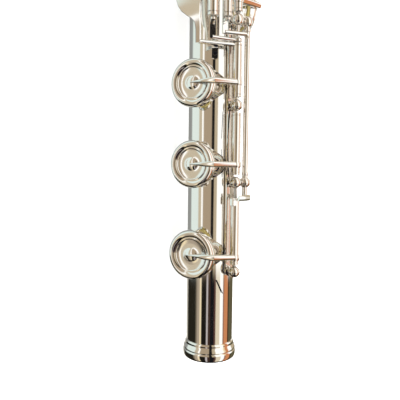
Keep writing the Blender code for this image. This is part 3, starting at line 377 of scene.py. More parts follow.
def tube_skin(name, first, last, outer, inner, holes, body, node, finish=SILVER):
    """A smooth tube with tone holes cut through it; outer and inner give the radius at a station."""
    steps = max(2, int((last - first) / (4 * MM)))
    sides = 96
    shape = Shape()
    rings = []
    for radius_at, order in ((outer, range(steps + 1)), (inner, range(steps, -1, -1))):
        for step in order:
            station = first + (last - first) * step / steps
            radius = radius_at(station)
            rings.append([on_tube(station, 2 * math.pi * i / sides, radius) for i in range(sides)])
    shape.shell(rings, closed=True)
    made = shape.done(name, body, finish, node)
    if holes:
        cutters = Shape()
        for station, angle, radius in holes:
            low = on_tube(station, angle, TUBE_RADIUS * 0.5)
            high = on_tube(station, angle, TUBE_RADIUS * 1.5)
            cutters.rod(low, high, radius, 48)
        bmesh.ops.recalc_face_normals(cutters.mesh, faces=cutters.mesh.faces)
        mesh = bpy.data.meshes.new(name + "_cutters")
        cutters.mesh.to_mesh(mesh)
        cutter = bpy.data.objects.new(name + "_cutters", mesh)
        bpy.context.scene.collection.objects.link(cutter)
        cutting = made.modifiers.new("holes", "BOOLEAN")
        cutting.object = cutter
        cutting.solver = "EXACT"
        graph = bpy.context.evaluated_depsgraph_get()
        cut_mesh = bpy.data.meshes.new_from_object(made.evaluated_get(graph))
        made.modifiers.clear()
        made.data = cut_mesh
        bpy.data.objects.remove(cutter, do_unlink=True)
    mesh = made.data
    mesh.shade_smooth()
    normals = []
    slack = 0.03 * MM
    for face in mesh.polygons:
        for index in face.vertices:
            place = mesh.vertices[index].co - AXIS
            away = Vector((0, place.y, place.z))
            radius = away.length
            away.normalize()
            facing_out = face.normal.dot(away)
            if abs(radius - outer(-place.x)) < slack and facing_out > 0.7:
                normals.append(away)
            elif abs(radius - inner(-place.x)) < slack and facing_out < -0.7:
                normals.append(-away)
            else:
                normals.append(face.normal.copy())
    mesh.normals_split_custom_set(normals)
    return made


def chimney(shape, station, angle, radius):
    """A drawn tone hole: flared root, straight wall and rolled rim."""
    wall = radius + 0.8 * MM
    outline = [
        (radius, 0), (radius, -7.0 * MM), (wall + 1.2 * MM, -7.4 * MM), (wall + 0.75 * MM, -5.8 * MM),
        (wall + 0.35 * MM, -4.3 * MM), (wall + 0.1 * MM, -3.0 * MM), (wall - 0.12 * MM, -1.6 * MM),
        (wall - 0.12 * MM, -0.85 * MM), (wall, -0.7 * MM), (wall, -0.25 * MM), (wall - 0.2 * MM, 0),
    ]
    if radius < 5 * MM:
        outline[2:6] = [(wall + 0.5 * MM, -3.4 * MM), (wall + 0.2 * MM, -2.6 * MM)]
        outline[1] = (radius, -3.2 * MM)
    shape.lathe(outline, facing(station, angle, SEAT_RADIUS), 56)


def constant(value):
    """A radius that is the same at every station."""
    return lambda station: value


FOOT_KEYS = {
    "b_key": box_middle("b_pad"),
    "c_key": box_middle("c_pad"),
    "c_sharp_key": box_middle("c_sharp_pad"),
}
D_SHARP_CUP = box_middle("d_sharp_pad")
FOOT_HOLE = 7.3 * MM
BODY_HOLE = 6.8 * MM
SMALL_HOLE = 3.6 * MM

foot_holes = [(station, FOOT_CUP, FOOT_HOLE) for station in FOOT_KEYS.values()]
foot_holes.append((D_SHARP_CUP, 68 * DEG, BODY_HOLE))
tube_skin(
    "foot_tube_skin", 0, FOOT_LENGTH - 11.6 * MM, constant(TUBE_RADIUS), constant(BORE_RADIUS),
    foot_holes, "foot_joint", "foot_tube",
)
chimneys = Shape()
for hole in foot_holes:
    chimney(chimneys, *hole)
chimneys.done("foot_chimneys", "foot_joint", SILVER)

upright = Matrix.Translation(AXIS) @ Matrix.Rotation(-90 * DEG, 4, "Y")
socket_low = FOOT_LENGTH - 12 * MM
socket = Shape()
socket.lathe(
    [
        (10.2 * MM, socket_low + 0.6 * MM), (TUBE_RADIUS - 0.2 * MM, socket_low + 0.3 * MM),
        (TUBE_RADIUS - 0.1 * MM, socket_low - 0.2 * MM), (10.5 * MM, socket_low),
        (10.95 * MM, socket_low + 0.5 * MM), (11.06 * MM, socket_low + 1.2 * MM),
        (10.75 * MM, socket_low + 1.8 * MM), (10.75 * MM, FOOT_LENGTH - 2.6 * MM),
        (11.06 * MM, FOOT_LENGTH - 2.2 * MM), (11.1 * MM, FOOT_LENGTH - 0.8 * MM),
        (10.9 * MM, FOOT_LENGTH - 0.1 * MM), (10.5 * MM, FOOT_LENGTH), (10.2 * MM, FOOT_LENGTH - 0.2 * MM),
    ],
    upright, 96,
)
socket.done("foot_socket", "foot_joint", SILVER)

ring = Shape()
ring.lathe(
    [
        (9.9 * MM, 7.1 * MM), (10.25 * MM, 7.15 * MM), (10.4 * MM, 6.9 * MM), (10.45 * MM, 6.4 * MM),
        (10.4 * MM, 5.8 * MM), (10.55 * MM, 5.5 * MM), (10.85 * MM, 4.9 * MM), (11.1 * MM, 4.3 * MM),
        (11.15 * MM, 3.9 * MM), (11.02 * MM, 3.7 * MM), (11.02 * MM, 3.45 * MM), (11.25 * MM, 3.2 * MM),
        (11.3 * MM, 2.6 * MM), (11.3 * MM, 1.6 * MM), (11.22 * MM, 0.8 * MM), (11.0 * MM, 0.25 * MM),
        (10.7 * MM, 0.02 * MM), (10.2 * MM, 0.0 * MM), (9.9 * MM, 0.02 * MM),
    ],
    upright, 96,
)
ring.done("foot_end_ring", "foot_joint", SILVER, "end_ring", angle=40)


# Keys

def cup_shape(shape, place, radius):
    """A key cup: rolled lip, wide bevel, groove, bead, recessed disc and a low domed boss."""
    big = radius > 7 * MM
    k = radius / (9.5 * MM)
    outline = [
        (0, CUP_FACE + 0.72 * MM), (0.9 * MM * k, CUP_FACE + 0.68 * MM), (1.7 * MM * k, CUP_FACE + 0.5 * MM),
        (2.3 * MM * k, CUP_FACE + 0.22 * MM), (2.55 * MM * k, CUP_FACE + 0.02 * MM),
    ]
    if big:
        outline += [
            (2.8 * MM * k, CUP_FACE - 0.06 * MM), (5.7 * MM * k, CUP_FACE - 0.02 * MM),
            (6.0 * MM * k, CUP_FACE + 0.12 * MM), (6.2 * MM * k, CUP_FACE + 0.4 * MM),
            (6.38 * MM * k, CUP_FACE + 0.44 * MM), (6.5 * MM * k, CUP_FACE + 0.3 * MM),
            (6.62 * MM * k, CUP_FACE + 0.18 * MM), (6.78 * MM * k, CUP_FACE + 0.3 * MM),
            (7.15 * MM * k, CUP_FACE + 0.78 * MM),
        ]
    outline += [
        (7.65 * MM * k, CUP_TOP - 0.14 * MM), (8.1 * MM * k, CUP_TOP - 0.02 * MM),
        (8.5 * MM * k, CUP_TOP - 0.1 * MM), (8.95 * MM * k, CUP_TOP - 0.42 * MM),
        (9.25 * MM * k, CUP_TOP - 0.85 * MM), (9.42 * MM * k, CUP_TOP - 1.35 * MM),
        (radius, CUP_TOP - 1.95 * MM), (radius, 0.95 * MM), (radius - 0.15 * MM, 0.8 * MM),
        (radius - 0.8 * MM, 0.8 * MM), (radius - 0.8 * MM, CUP_FLOOR), (0, CUP_FLOOR),
    ]
    shape.lathe(outline, place, 72)


def pad_piece(key, body, station, cup_angle, radius, matrix):
    """The pad's skin, bulging a little between the cup and the tone hole."""
    outer = radius - 1.12 * MM
    shape = Shape()
    outline = [
        (0, PAD_HIGH), (outer, PAD_HIGH), (outer + 0.12 * MM, PAD_HIGH - 0.4 * MM),
        (outer + 0.12 * MM, PAD_LOW + 0.5 * MM), (outer - 0.15 * MM, PAD_LOW + 0.12 * MM),
        (outer - 0.6 * MM, PAD_LOW), (0, PAD_LOW + 0.05 * MM),
    ]
    shape.lathe(outline, facing(station, cup_angle, SEAT_RADIUS), 56)
    node = key.replace("_key", "") + "_pad"
    piece = shape.turn(matrix).done(node + "_skin", body, SKIN, node, slot="pad_skin")
    return piece


def arm_shape(shape, station, cup_angle, rod_angle, radius, arm_station=None):
    """A pointed arm from a ring on the hinge tube, over the cup's lip, to the middle of its boss."""
    seat = facing(station, cup_angle, SEAT_RADIUS)
    arm_station = arm_station or station
    rod = on_tube(arm_station, rod_angle, ROD_RADIUS)
    side = math.copysign(1, (seat.inverted() @ rod).y)
    shoulder = seat @ Vector((0, side * (radius + 0.7 * MM), CUP_TOP + 0.25 * MM))
    lip = seat @ Vector((0, side * radius * 0.72, CUP_TOP + 0.55 * MM))
    inner = seat @ Vector((0, side * radius * 0.36, CUP_FACE + 1.35 * MM))
    tip = seat @ Vector((0, -side * 0.25 * MM, CUP_FACE + 0.85 * MM))
    root = rod.lerp(shoulder, 0.12)
    middle = rod.lerp(shoulder, 0.6)
    out = (rod - Vector((rod.x, AXIS.y, AXIS.z))).normalized()
    points = [root + out * 0.5 * MM, middle + out * 0.35 * MM, shoulder, lip, inner, tip]
    widths = [2.5 * MM, 2.3 * MM, 2.35 * MM, 2.0 * MM, 1.3 * MM, 0.5 * MM]
    heights = [2.3 * MM, 1.9 * MM, 1.8 * MM, 1.6 * MM, 1.3 * MM, 0.9 * MM]
    shape.sweep(points, widths, heights)
    shape.collar(arm_station, rod_angle, HINGE_RADIUS + 0.42 * MM, 2.7 * MM)


def key_shape(station, cup_angle, rod_angle, radius, first, last, arm_station=None):
    shape = Shape()
    cup_shape(shape, facing(station, cup_angle, SEAT_RADIUS), radius)
    arm_shape(shape, station, cup_angle, rod_angle, radius, arm_station)
    shape.sleeve(first, last, rod_angle)
    return shape


def lever(shape, station, start, end, width=1.5 * MM, height=1.8 * MM):
    points = [on_tube(station, *start), on_tube(station, *end)]
    shape.sweep(points, [width] * 2, [height] * 2)


def ribbon(shape, sections, thickness):
    """A plate running along the tube, from (station, angle, half width, distance) sections."""
    rings = []
    for station, angle, half, distance in sections:
        place = facing(station, angle, distance)
        edge = min(0.35 * MM, half * 0.5)
        low, high = -thickness / 2, thickness / 2
        corners = [
            (-half + edge, low), (half - edge, low), (half, low + edge * 0.8), (half, high - edge),
            (half - edge, high), (-half + edge, high), (-half, high - edge), (-half, low + edge * 0.8),
        ]
        rings.append([place @ Vector((0, y, z)) for y, z in corners])
    shape.shell(rings)


def teardrop(length, width, sides=22):
    """Outline points of a touch: round end at the origin's side, sweeping in to a neck."""
    points = []
    for step in range(sides + 1):
        turn = (90 + 180 * step / sides) * DEG
        points.append((width / 2 * (1 + math.cos(turn)), width / 2 * math.sin(turn)))
    neck = 0.8 * MM
    for step in range(1, 9):
        share = step / 8
        ease = share * share * (3 - 2 * share)
        points.append((width / 2 + (length - width / 2) * share, -(width / 2 * (1 - ease) + neck * ease)))
    for step in range(7, 0, -1):
        share = step / 8
        ease = share * share * (3 - 2 * share)
        points.append((width / 2 + (length - width / 2) * share, width / 2 * (1 - ease) + neck * ease))
    points.insert(-7, (length, neck))
    return points


ROLLER_START, ROLLER_END = box_span("b_roller")


def bracket(shape, arm_station, angle, radius, *route):
    """Lever arm, base bar, two lugs and axle of a roller touch."""
    centre = TUBE_RADIUS + 7.2 * MM
    low = centre - radius - 1.1 * MM
    lug = 1.2 * MM
    first = ROLLER_START - GAP - lug
    last = ROLLER_END + GAP + lug
    bar_start = arm_station - 0.75 * MM
    shape.brick(facing((bar_start + last) / 2, angle, low), (last - bar_start, 2.0 * MM, 1.0 * MM))
    for station in (first + lug / 2, last - lug / 2):
        start = on_tube(station, angle, low)
        end = on_tube(station, angle, centre)
        shape.sweep([start, end], [lug] * 2, [1.8 * MM] * 2)
        ends = [on_tube(station + side * lug / 2, angle, centre) for side in (-1, 1)]
        shape.rod(*ends, 1.0 * MM)
    shape.rod(on_tube(first, angle, centre), on_tube(last, angle, centre), 0.6 * MM)
    stops = [*route, (angle, low)]
    points = [on_tube(arm_station, *stop) for stop in stops]
    shape.sweep(points, [1.5 * MM] * len(points), [1.8 * MM] * len(points))


def roller_piece(name, angle, radius, key):
    centre = TUBE_RADIUS + 7.2 * MM
    start = on_tube(ROLLER_START, angle, centre)
    end = on_tube(ROLLER_END, angle, centre)
    length = ROLLER_END - ROLLER_START
    edge = 0.35 * MM
    outline = [(0.92 * MM, 0), (radius - edge, 0), (radius - 0.08 * MM, edge * 0.4), (radius, edge)]
    for place in (0.08, 0.92):
        outline += [
            (radius, length * place - 0.2 * MM), (radius - 0.16 * MM, length * place),
            (radius, length * place + 0.2 * MM),
        ]
    outline += [(radius, length - edge), (radius - 0.08 * MM, length - edge * 0.4), (radius - edge, length)]
    outline.append((0.92 * MM, length))
    shape = Shape().lathe(outline, aimed(start, end), 40)
    shape.turn(rest(key)).done(name + "_skin", name, KEYS, name)


foot_posts = (38.4 * MM, 75.0 * MM, 105.9 * MM, 139.3 * MM)
socket_post = 167.2 * MM
CLEAR = BALL_RADIUS + 2 * GAP
touch_level = TUBE_RADIUS + 6.0 * MM
c_sharp_lever = 129.5 * MM
c_lever = 131.35 * MM
b_lever = 133.2 * MM
cup_radii = {"b_key": 10.0 * MM, "c_key": 9.5 * MM, "c_sharp_key": 9.5 * MM}


def foot_key_shape(key, first, last, arm_station):
    return key_shape(FOOT_KEYS[key], FOOT_CUP, FOOT_ROD, cup_radii[key], first, last, arm_station)


b_first, b_last = foot_posts[0] + CLEAR, foot_posts[1] - CLEAR - 3.2 * MM
shape = foot_key_shape("b_key", b_first, b_last, 44.3 * MM)
link_place = facing(b_last - 1.6 * MM, FOOT_ROD, ROD_RADIUS)
shape.brick(link_place, (3.2 * MM, 2.2 * MM, 1.8 * MM), (0, -2.1 * MM, 0.5 * MM))
shape.turn(rest("b_key")).done("b_key_skin", "b_key", KEYS, "b_key")

c_first = foot_posts[1] + CLEAR
shape = foot_key_shape("c_key", c_first, foot_posts[2] - CLEAR, FOOT_KEYS["c_key"])
core_end = foot_posts[3] - 0.3 * MM
shape.rod(on_tube(c_first, FOOT_ROD, ROD_RADIUS), on_tube(core_end, FOOT_ROD, ROD_RADIUS), STEEL_RADIUS)
shape.collar(c_lever, FOOT_ROD, HINGE_RADIUS, 1.5 * MM)
bracket(shape, c_lever, -46 * DEG, 2.2 * MM, (FOOT_ROD, ROD_RADIUS))
shape.turn(rest("c_key")).done("c_key_skin", "c_key", KEYS, "c_key")
roller_piece("c_roller", -46 * DEG, 2.2 * MM, "c_key")

sharp_end = c_sharp_lever + 0.75 * MM
shape = foot_key_shape("c_sharp_key", foot_posts[2] + CLEAR, sharp_end, 114.9 * MM)
lever(shape, c_sharp_lever, (FOOT_ROD, ROD_RADIUS), (-65.5 * DEG, touch_level - 0.8 * MM))
flat = [
    (128.9, -67, 1.05, -0.8), (134.0, -67, 1.1, -0.8), (136.6, -68, 1.25, -0.7), (138.2, -70.5, 1.9, -0.5),
    (139.6, -74, 3.1, -0.3), (141.4, -77.5, 4.3, -0.1), (143.6, -80, 5.2, 0), (146.2, -81, 5.8, 0),
    (148.6, -81, 6.0, 0), (150.6, -81, 5.8, 0), (152.2, -81, 5.0, 0), (153.6, -81, 3.6, 0),
    (154.5, -81, 1.8, 0),
]
ribbon(shape, [(s * MM, a * DEG, h * MM, touch_level + d * MM) for s, a, h, d in flat], 1.3 * MM)
shape.turn(rest("c_sharp_key")).done("c_sharp_key_skin", "c_sharp_key", KEYS, "c_sharp_key")

for key, cup_radius in cup_radii.items():
    pad_piece(key, key, FOOT_KEYS[key], FOOT_CUP, cup_radius, rest(key))

outer = (OUTER_ROD, TUBE_RADIUS + 5.5 * MM)
low = b_last - 1.2 * MM
shape = Shape()
shape.rod(on_tube(low, *outer), on_tube(foot_posts[3] + 1.6 * MM, *outer), 1.2 * MM)
shape.collar(foot_posts[1] + 3.4 * MM, OUTER_ROD, 1.45 * MM, 1.2 * MM, outer[1])
shape.collar(foot_posts[3] - 3.4 * MM, OUTER_ROD, 1.5 * MM, 1.4 * MM, outer[1])
crossing = low + 1.2 * MM
over = ROD_RADIUS + HINGE_RADIUS + 1.4 * MM
points = [
    on_tube(crossing, OUTER_ROD, outer[1] - 0.4 * MM),
    on_tube(crossing, OUTER_ROD, outer[1] + 1.9 * MM),
    on_tube(crossing, FOOT_ROD + 6 * DEG, over),
    on_tube(crossing, FOOT_ROD - 9 * DEG, over),
]
shape.sweep(points, [2.4 * MM, 2.4 * MM, 2.3 * MM, 2.1 * MM], [2.1 * MM, 1.4 * MM, 1.0 * MM, 0.9 * MM])
arch = (FOOT_ROD, ROD_RADIUS + HINGE_RADIUS + 1.2 * MM)
bracket(shape, b_lever, -28 * DEG, 1.65 * MM, outer, arch)
shape.turn(rest("b_lever")).done("b_lever_skin", "b_lever", KEYS, "b_lever")
roller_piece("b_roller", -28 * DEG, 1.65 * MM, "b_lever")

shape = key_shape(D_SHARP_CUP, 68 * DEG, FOOT_ROD, 9.0 * MM, foot_posts[3] + CLEAR, socket_post - CLEAR)
d_touch = 163.2 * MM
lever(shape, d_touch, (FOOT_ROD, ROD_RADIUS), (-60 * DEG, touch_level + 0.4 * MM))
place = facing(d_touch, -74 * DEG, touch_level) @ Matrix.Rotation(-90 * DEG, 4, "Z")
shape.slab(teardrop(15 * MM, 9.5 * MM), 1.3 * MM, place @ Matrix.Translation((-7.5 * MM, 0, 0)))
shape.done("d_sharp_key_skin", "d_sharp_key", KEYS, "d_sharp_key")
pad_piece("d_sharp_key", "d_sharp_key", D_SHARP_CUP, 68 * DEG, 9.0 * MM, Matrix.Identity(4))


# Posts, straps and rods

def post_shape(shape, station, angle, distance=ROD_RADIUS, base=TUBE_RADIUS + GAP, radius=BALL_RADIUS):
    """A turned post: round foot, waisted stem and ball, with the bead where they meet."""
    height = distance - base
    stem = height - radius * 0.86
    foot = 2.15 * MM
    outline = [
        (0, 0), (foot, 0), (foot, 0.35 * MM), (foot - 0.2 * MM, 0.6 * MM), (1.5 * MM, 0.85 * MM),
        (1.2 * MM, 0.42 * height), (1.12 * MM, stem * 0.92), (1.32 * MM, stem), (1.2 * MM, stem + 0.2 * MM),
        (0, stem + 0.5 * MM),
    ]
    shape.lathe(outline, facing(station, angle, base), 32)
    shape.ball(on_tube(station, angle, distance), radius)


def strap_shape(shape, stations, angle, width=4.0 * MM, reach=2.2 * MM):
    first, last = stations[0] - reach, stations[-1] + reach
    half = width / 2
    edge = 0.22 * MM
    low = TUBE_RADIUS + GAP * 0.4
    height = 0.9 * MM + GAP * 0.6
    outline = []
    for x0, sign in ((last - first, 1), (0, -1)):
        for step in range(9):
            turn = (90 - 22.5 * step) * DEG
            outline.append((x0 - sign * half + sign * half * math.cos(turn), sign * half * math.sin(turn)))
    place = facing(last, angle, low + height / 2)
    shape.slab(outline, height, place, edge)


def rib_piece(name, stations, angle, body, radii=None):
    shape = Shape()
    strap_shape(shape, stations, angle)
    for index, station in enumerate(stations):
        radius = radii[index] if radii else BALL_RADIUS
        post_shape(shape, station, angle, base=TUBE_RADIUS + 0.9 * MM, radius=radius)
    return shape.done(name + "_skin", body, SILVER, name)


def steel_piece(name, angle, body):
    first, last = box_span(name)
    shape = Shape()
    shape.rod(on_tube(first, angle, ROD_RADIUS), on_tube(last, angle, ROD_RADIUS), STEEL_RADIUS)
    shape.done(name + "_skin", body, STEEL, name, slot="steel")


shape = Shape()
strap_shape(shape, foot_posts, FOOT_ROD)
for station in foot_posts:
    post_shape(shape, station, FOOT_ROD, base=TUBE_RADIUS + 0.9 * MM)
for station in (foot_posts[1], foot_posts[3]):
    post_shape(shape, station, OUTER_ROD, outer[1], TUBE_RADIUS + 0.9 * MM, 2.32 * MM)
shape.done("foot_rib_skin", "foot_joint", SILVER, "foot_rib")
shape = Shape()
post_shape(shape, socket_post, FOOT_ROD, base=11.2 * MM)
shape.done("socket_post_skin", "foot_joint", SILVER, "socket_post")
steel_piece("b_key_steel", FOOT_ROD, "foot_joint")
steel_piece("d_sharp_key_steel", FOOT_ROD, "foot_joint")

needles = Shape()
needle_runs = [
    ((34.6, -27, 10.3), (29.0, -12, 10.5)),
    ((77.0, -9, 12.9), (88.5, -13, 12.9)),
    ((103.9, -9, 12.9), (92.8, -13, 12.9)),
    ((137.2, -7, 12.7), (126.0, -9, 12.9)),
]
for start, end in needle_runs:
    points = [on_tube(s * MM, a * DEG, r * MM) for s, a, r in (start, end)]
    needles.rod(*points, 0.26 * MM, 10, end_radius=0.16 * MM, edge=0.05 * MM)
needles.done("foot_needle_springs", "foot_joint", BLUED)

link_plate = Shape()
stop_angle = -38 * DEG
link_plate.brick(facing(127.8 * MM, stop_angle, TUBE_RADIUS + 0.5 * MM), (7.6 * MM, 2.6 * MM, 0.7 * MM))
link_plate.done("foot_stop_plate", "foot_joint", SILVER)
screws = Shape()
for station in (126.1 * MM, 129.5 * MM):
    ends = [on_tube(station, stop_angle, TUBE_RADIUS + rise) for rise in (0.7 * MM, 1.15 * MM)]
    screws.rod(*ends, 0.75 * MM)
screws.done("foot_stop_screws", "foot_joint", BLUED)


# Body

def up(station):
    return FOOT_LENGTH + station * MM


BODY_KEYS = ["d", "e", "f", "f_sharp", "g", "a", "b_flat"]
body_cups = {key: box_middle(key + "_pad") for key in BODY_KEYS}
small_cups = {key: box_middle(key + "_pad") for key in ("c_sharp_upper", "d_trill", "d_sharp_trill")}
thumb_cups = {key: box_middle(key + "_pad") for key in ("thumb_b_flat", "thumb_b")}
g_sharp_cup = box_middle("g_sharp_pad")
body_holes = [(station, 0, BODY_HOLE) for station in body_cups.values()]
body_holes += [(station, 0, SMALL_HOLE) for station in small_cups.values()]
body_holes += [(station, THUMB_CUP, BODY_HOLE) for station in thumb_cups.values()]
body_holes.append((g_sharp_cup, SIDE_CUP, BODY_HOLE))
tube_skin(
    "body_tube_skin", FOOT_LENGTH - 10.8 * MM, BODY_TOP, constant(TUBE_RADIUS), constant(BORE_RADIUS),
    body_holes, "body_joint", "body_tube",
)
chimneys = Shape()
for hole in body_holes:
    chimney(chimneys, *hole)
chimneys.done("body_chimneys", "body_joint", SILVER)

barrel_low, barrel_high = box_span("barrel")
skin = 11.3 * MM
bead = 11.78 * MM
shape = Shape()
profile = [(10.2 * MM, barrel_low)]
for near, sign in ((barrel_low, 1), (barrel_high, -1)):
    part = [
        (skin, near + sign * 0.1 * MM), (bead - 0.1 * MM, near + sign * 0.7 * MM),
        (bead, near + sign * 1.3 * MM), (bead, near + sign * 2.0 * MM),
        (bead - 0.1 * MM, near + sign * 2.6 * MM), (skin, near + sign * 3.1 * MM),
        (skin, near + sign * 4.2 * MM), (skin + 0.16 * MM, near + sign * 4.5 * MM),
        (skin, near + sign * 4.8 * MM),
    ]
    profile += part if sign > 0 else part[::-1]
profile.append((10.2 * MM, barrel_high))
shape.lathe(profile, upright, 96)
shape.done("barrel_skin", "body_joint", SILVER, "barrel")

lower_posts = [up(s) for s in (3.0, 53.0, 109.6)]
upper_posts = [up(s) for s in (130.6, 173.2, 240.2)]
thumb_posts = [up(s) for s in (170.6, 194.0, 217.4)]
g_posts = [up(s) for s in (106.2, 129.6)]
trill_posts = [up(s) for s in (15.0, 148.6, 272.0)]
rib_piece("lower_rib", lower_posts, BODY_ROD, "body_joint")
rib_piece("upper_rib", upper_posts, BODY_ROD, "body_joint")
rib_piece("thumb_rib", thumb_posts, THUMB_ROD, "body_joint")
rib_piece("g_sharp_rib", g_posts, 0.0, "body_joint")
rib_piece("trill_rib", trill_posts, TRILL_ROD, "body_joint", (BALL_RADIUS, 2.62 * MM, BALL_RADIUS))
steel_piece("lower_steel", BODY_ROD, "body_joint")
steel_piece("upper_steel", BODY_ROD, "body_joint")
steel_piece("thumb_steel", THUMB_ROD, "body_joint")
steel_piece("g_sharp_steel", 0.0, "body_joint")

HALF = GAP / 2


def between(first, last):
    return (body_cups[first] + body_cups[last]) / 2


index_touch = up(209.0)
b_flat_end = (body_cups["b_flat"] + index_touch) / 2
spans = {
    "d": (lower_posts[0] + CLEAR, between("d", "e") - HALF),
    "e": (between("d", "e") + HALF, lower_posts[1] - CLEAR),
    "f": (lower_posts[1] + CLEAR, between("f", "f_sharp") - HALF),
    "f_sharp": (between("f", "f_sharp") + HALF, lower_posts[2] - CLEAR),
    "g": (upper_posts[0] + CLEAR, between("g", "a") - HALF),
    "a": (between("g", "a") + HALF, upper_posts[1] - CLEAR),
    "b_flat": (upper_posts[1] + CLEAR, b_flat_end - HALF),
}
for key, (first, last) in spans.items():
    name = key + "_key"
    shape = key_shape(body_cups[key], 0, BODY_ROD, 9.0 * MM, first, last)
    shape.turn(rest(name)).done(name + "_skin", name, KEYS, name)
    pad_piece(name, name, body_cups[key], 0, 9.0 * MM, rest(name))
for key, first, last in (("thumb_b_flat", 0, 1), ("thumb_b", 1, 2)):
    name = key + "_key"
    run = (thumb_posts[first] + CLEAR, thumb_posts[last] - CLEAR)
    shape = key_shape(thumb_cups[key], THUMB_CUP, THUMB_ROD, 9.0 * MM, *run)
    shape.turn(rest(name)).done(name + "_skin", name, KEYS, name)
    pad_piece(name, name, thumb_cups[key], THUMB_CUP, 9.0 * MM, rest(name))

name = "c_sharp_upper_key"
run = (b_flat_end + HALF, upper_posts[2] - CLEAR)
shape = key_shape(small_cups["c_sharp_upper"], 0, BODY_ROD, 5.6 * MM, *run)
disc = 8.28 * MM
shape.lathe(
    [
        (0, CUP_FACE + 0.6 * MM), (disc * 0.7, CUP_FACE + 0.65 * MM), (disc - 1.2 * MM, CUP_TOP - 0.1 * MM),
        (disc - 0.6 * MM, CUP_TOP), (disc - 0.15 * MM, CUP_TOP - 0.3 * MM), (disc, CUP_TOP - 0.7 * MM),
        (disc, CUP_FLOOR + 0.15 * MM), (disc - 0.15 * MM, CUP_FLOOR), (0, CUP_FLOOR),
    ],
    facing(index_touch, 0, SEAT_RADIUS), 64,
)
arm_shape(shape, index_touch, 0, BODY_ROD, 9.0 * MM)
shape.turn(rest(name)).done(name + "_skin", name, KEYS, name)
pad_piece(name, name, small_cups["c_sharp_upper"], 0, 5.6 * MM, rest(name))

name = "g_sharp_key"
shape = key_shape(g_sharp_cup, SIDE_CUP, 0.0, 9.0 * MM, g_posts[0] + CLEAR, g_posts[1] - CLEAR)
reach = TUBE_RADIUS + 7.2 * MM
lever(shape, g_sharp_cup, (0.0, ROD_RADIUS), (-44 * DEG, reach), 2.2 * MM)
place = facing(g_sharp_cup, -50 * DEG, reach) @ Matrix.Rotation(-90 * DEG, 4, "Z")
shape.slab(teardrop(14 * MM, 10 * MM), 1.3 * MM, place @ Matrix.Translation((-9 * MM, 0, 0)))
shape.done(name + "_skin", name, KEYS, name)
pad_piece(name, name, g_sharp_cup, SIDE_CUP, 9.0 * MM, Matrix.Identity(4))


def trill_shape(cup_station, touch_station):
    """Small cup, its arm over the main rod, and the touch beside the lower rod."""
    shape = Shape()
    cup_shape(shape, facing(cup_station, 0, SEAT_RADIUS), 5.6 * MM)
    top = SEAT_RADIUS + CUP_TOP
    stops = [
        (TRILL_ROD, ROD_RADIUS), (BODY_ROD, ROD_RADIUS + 4.6 * MM),
        (-math.atan2(6.5 * MM, top), top + 0.9 * MM), (0, SEAT_RADIUS + CUP_FACE + 1.05 * MM),
    ]
    points = [on_tube(cup_station, *stop) for stop in stops]
    shape.sweep(points, [1.5 * MM, 1.5 * MM, 1.5 * MM, 0.6 * MM], [1.9 * MM, 1.8 * MM, 1.7 * MM, 1.2 * MM])
    outward = (BODY_ROD, ROD_RADIUS + 6.4 * MM)
    lever(shape, touch_station, (TRILL_ROD, ROD_RADIUS), outward)
    x, y = 2.5 * MM, 4.0 * MM
    outline = []
    for step in range(28):
        turn = 2 * math.pi * step / 28
        cos, sin = math.cos(turn), math.sin(turn)
        outline.append((x * math.copysign(abs(cos) ** 0.6, cos), y * math.copysign(abs(sin) ** 0.6, sin)))
    shape.slab(outline, 1.5 * MM, facing(touch_station, *outward), 0.35 * MM)
    return shape


d_touch = up(53.7)
sharp_touch = up(25.7)
first = d_touch - 3 * MM
last = (small_cups["d_trill"] + small_cups["d_sharp_trill"]) / 2 - GAP
shape = trill_shape(small_cups["d_trill"], d_touch)
shape.sleeve(first, last, TRILL_ROD, 1.5 * MM)
shape.done("d_trill_key_skin", "d_trill_key", KEYS, "d_trill_key")
shape = trill_shape(small_cups["d_sharp_trill"], sharp_touch)
shape.sleeve(last + 2 * GAP, trill_posts[2] - CLEAR, TRILL_ROD, 1.5 * MM, bore=0.7 * MM)
shape.sleeve(trill_posts[0] + CLEAR, first - 2 * GAP, TRILL_ROD, 1.5 * MM, bore=0.7 * MM)
core = [on_tube(s, TRILL_ROD, ROD_RADIUS) for s in (trill_posts[0] - 1.6 * MM, trill_posts[2] + 1.6 * MM)]
shape.rod(*core, STEEL_RADIUS)
shape.done("d_sharp_trill_key_skin", "d_sharp_trill_key", KEYS, "d_sharp_trill_key")
for key in ("d_trill_key", "d_sharp_trill_key"):
    station = small_cups[key.replace("_key", "")]
    pad_piece(key, key, station, 0, 5.6 * MM, Matrix.Identity(4))


# Head

head_low, head_high = box_span("head_tube")
HEAD_END = 9.1 * MM


def head_outer(station):
    share = (station - head_low) / (head_high - head_low)
    return TUBE_RADIUS + (HEAD_END - TUBE_RADIUS) * share


def head_inner(station):
    return head_outer(station) - 0.42 * MM


tube_skin("head_tube_skin", head_low, head_high, head_outer, head_inner, [], "head_joint", "head_tube")


def oval(length, width, share, steps=72):
    """Points of (along, across) on an oval, part of the way from the blow hole to the plate's edge."""
    made = []
    for step in range(steps):
        turn = 2 * math.pi * step / steps
        x = (6.0 * MM + (length - 6.0 * MM) * share) * math.cos(turn)
        y = (5.1 * MM + (width - 5.1 * MM) * share) * math.sin(turn)
        made.append((x, y))
    return made


def lip_point(x, y, radius):
    return AXIS + Vector((-EMBOUCHURE + x, y, math.sqrt(radius * radius - y * y)))


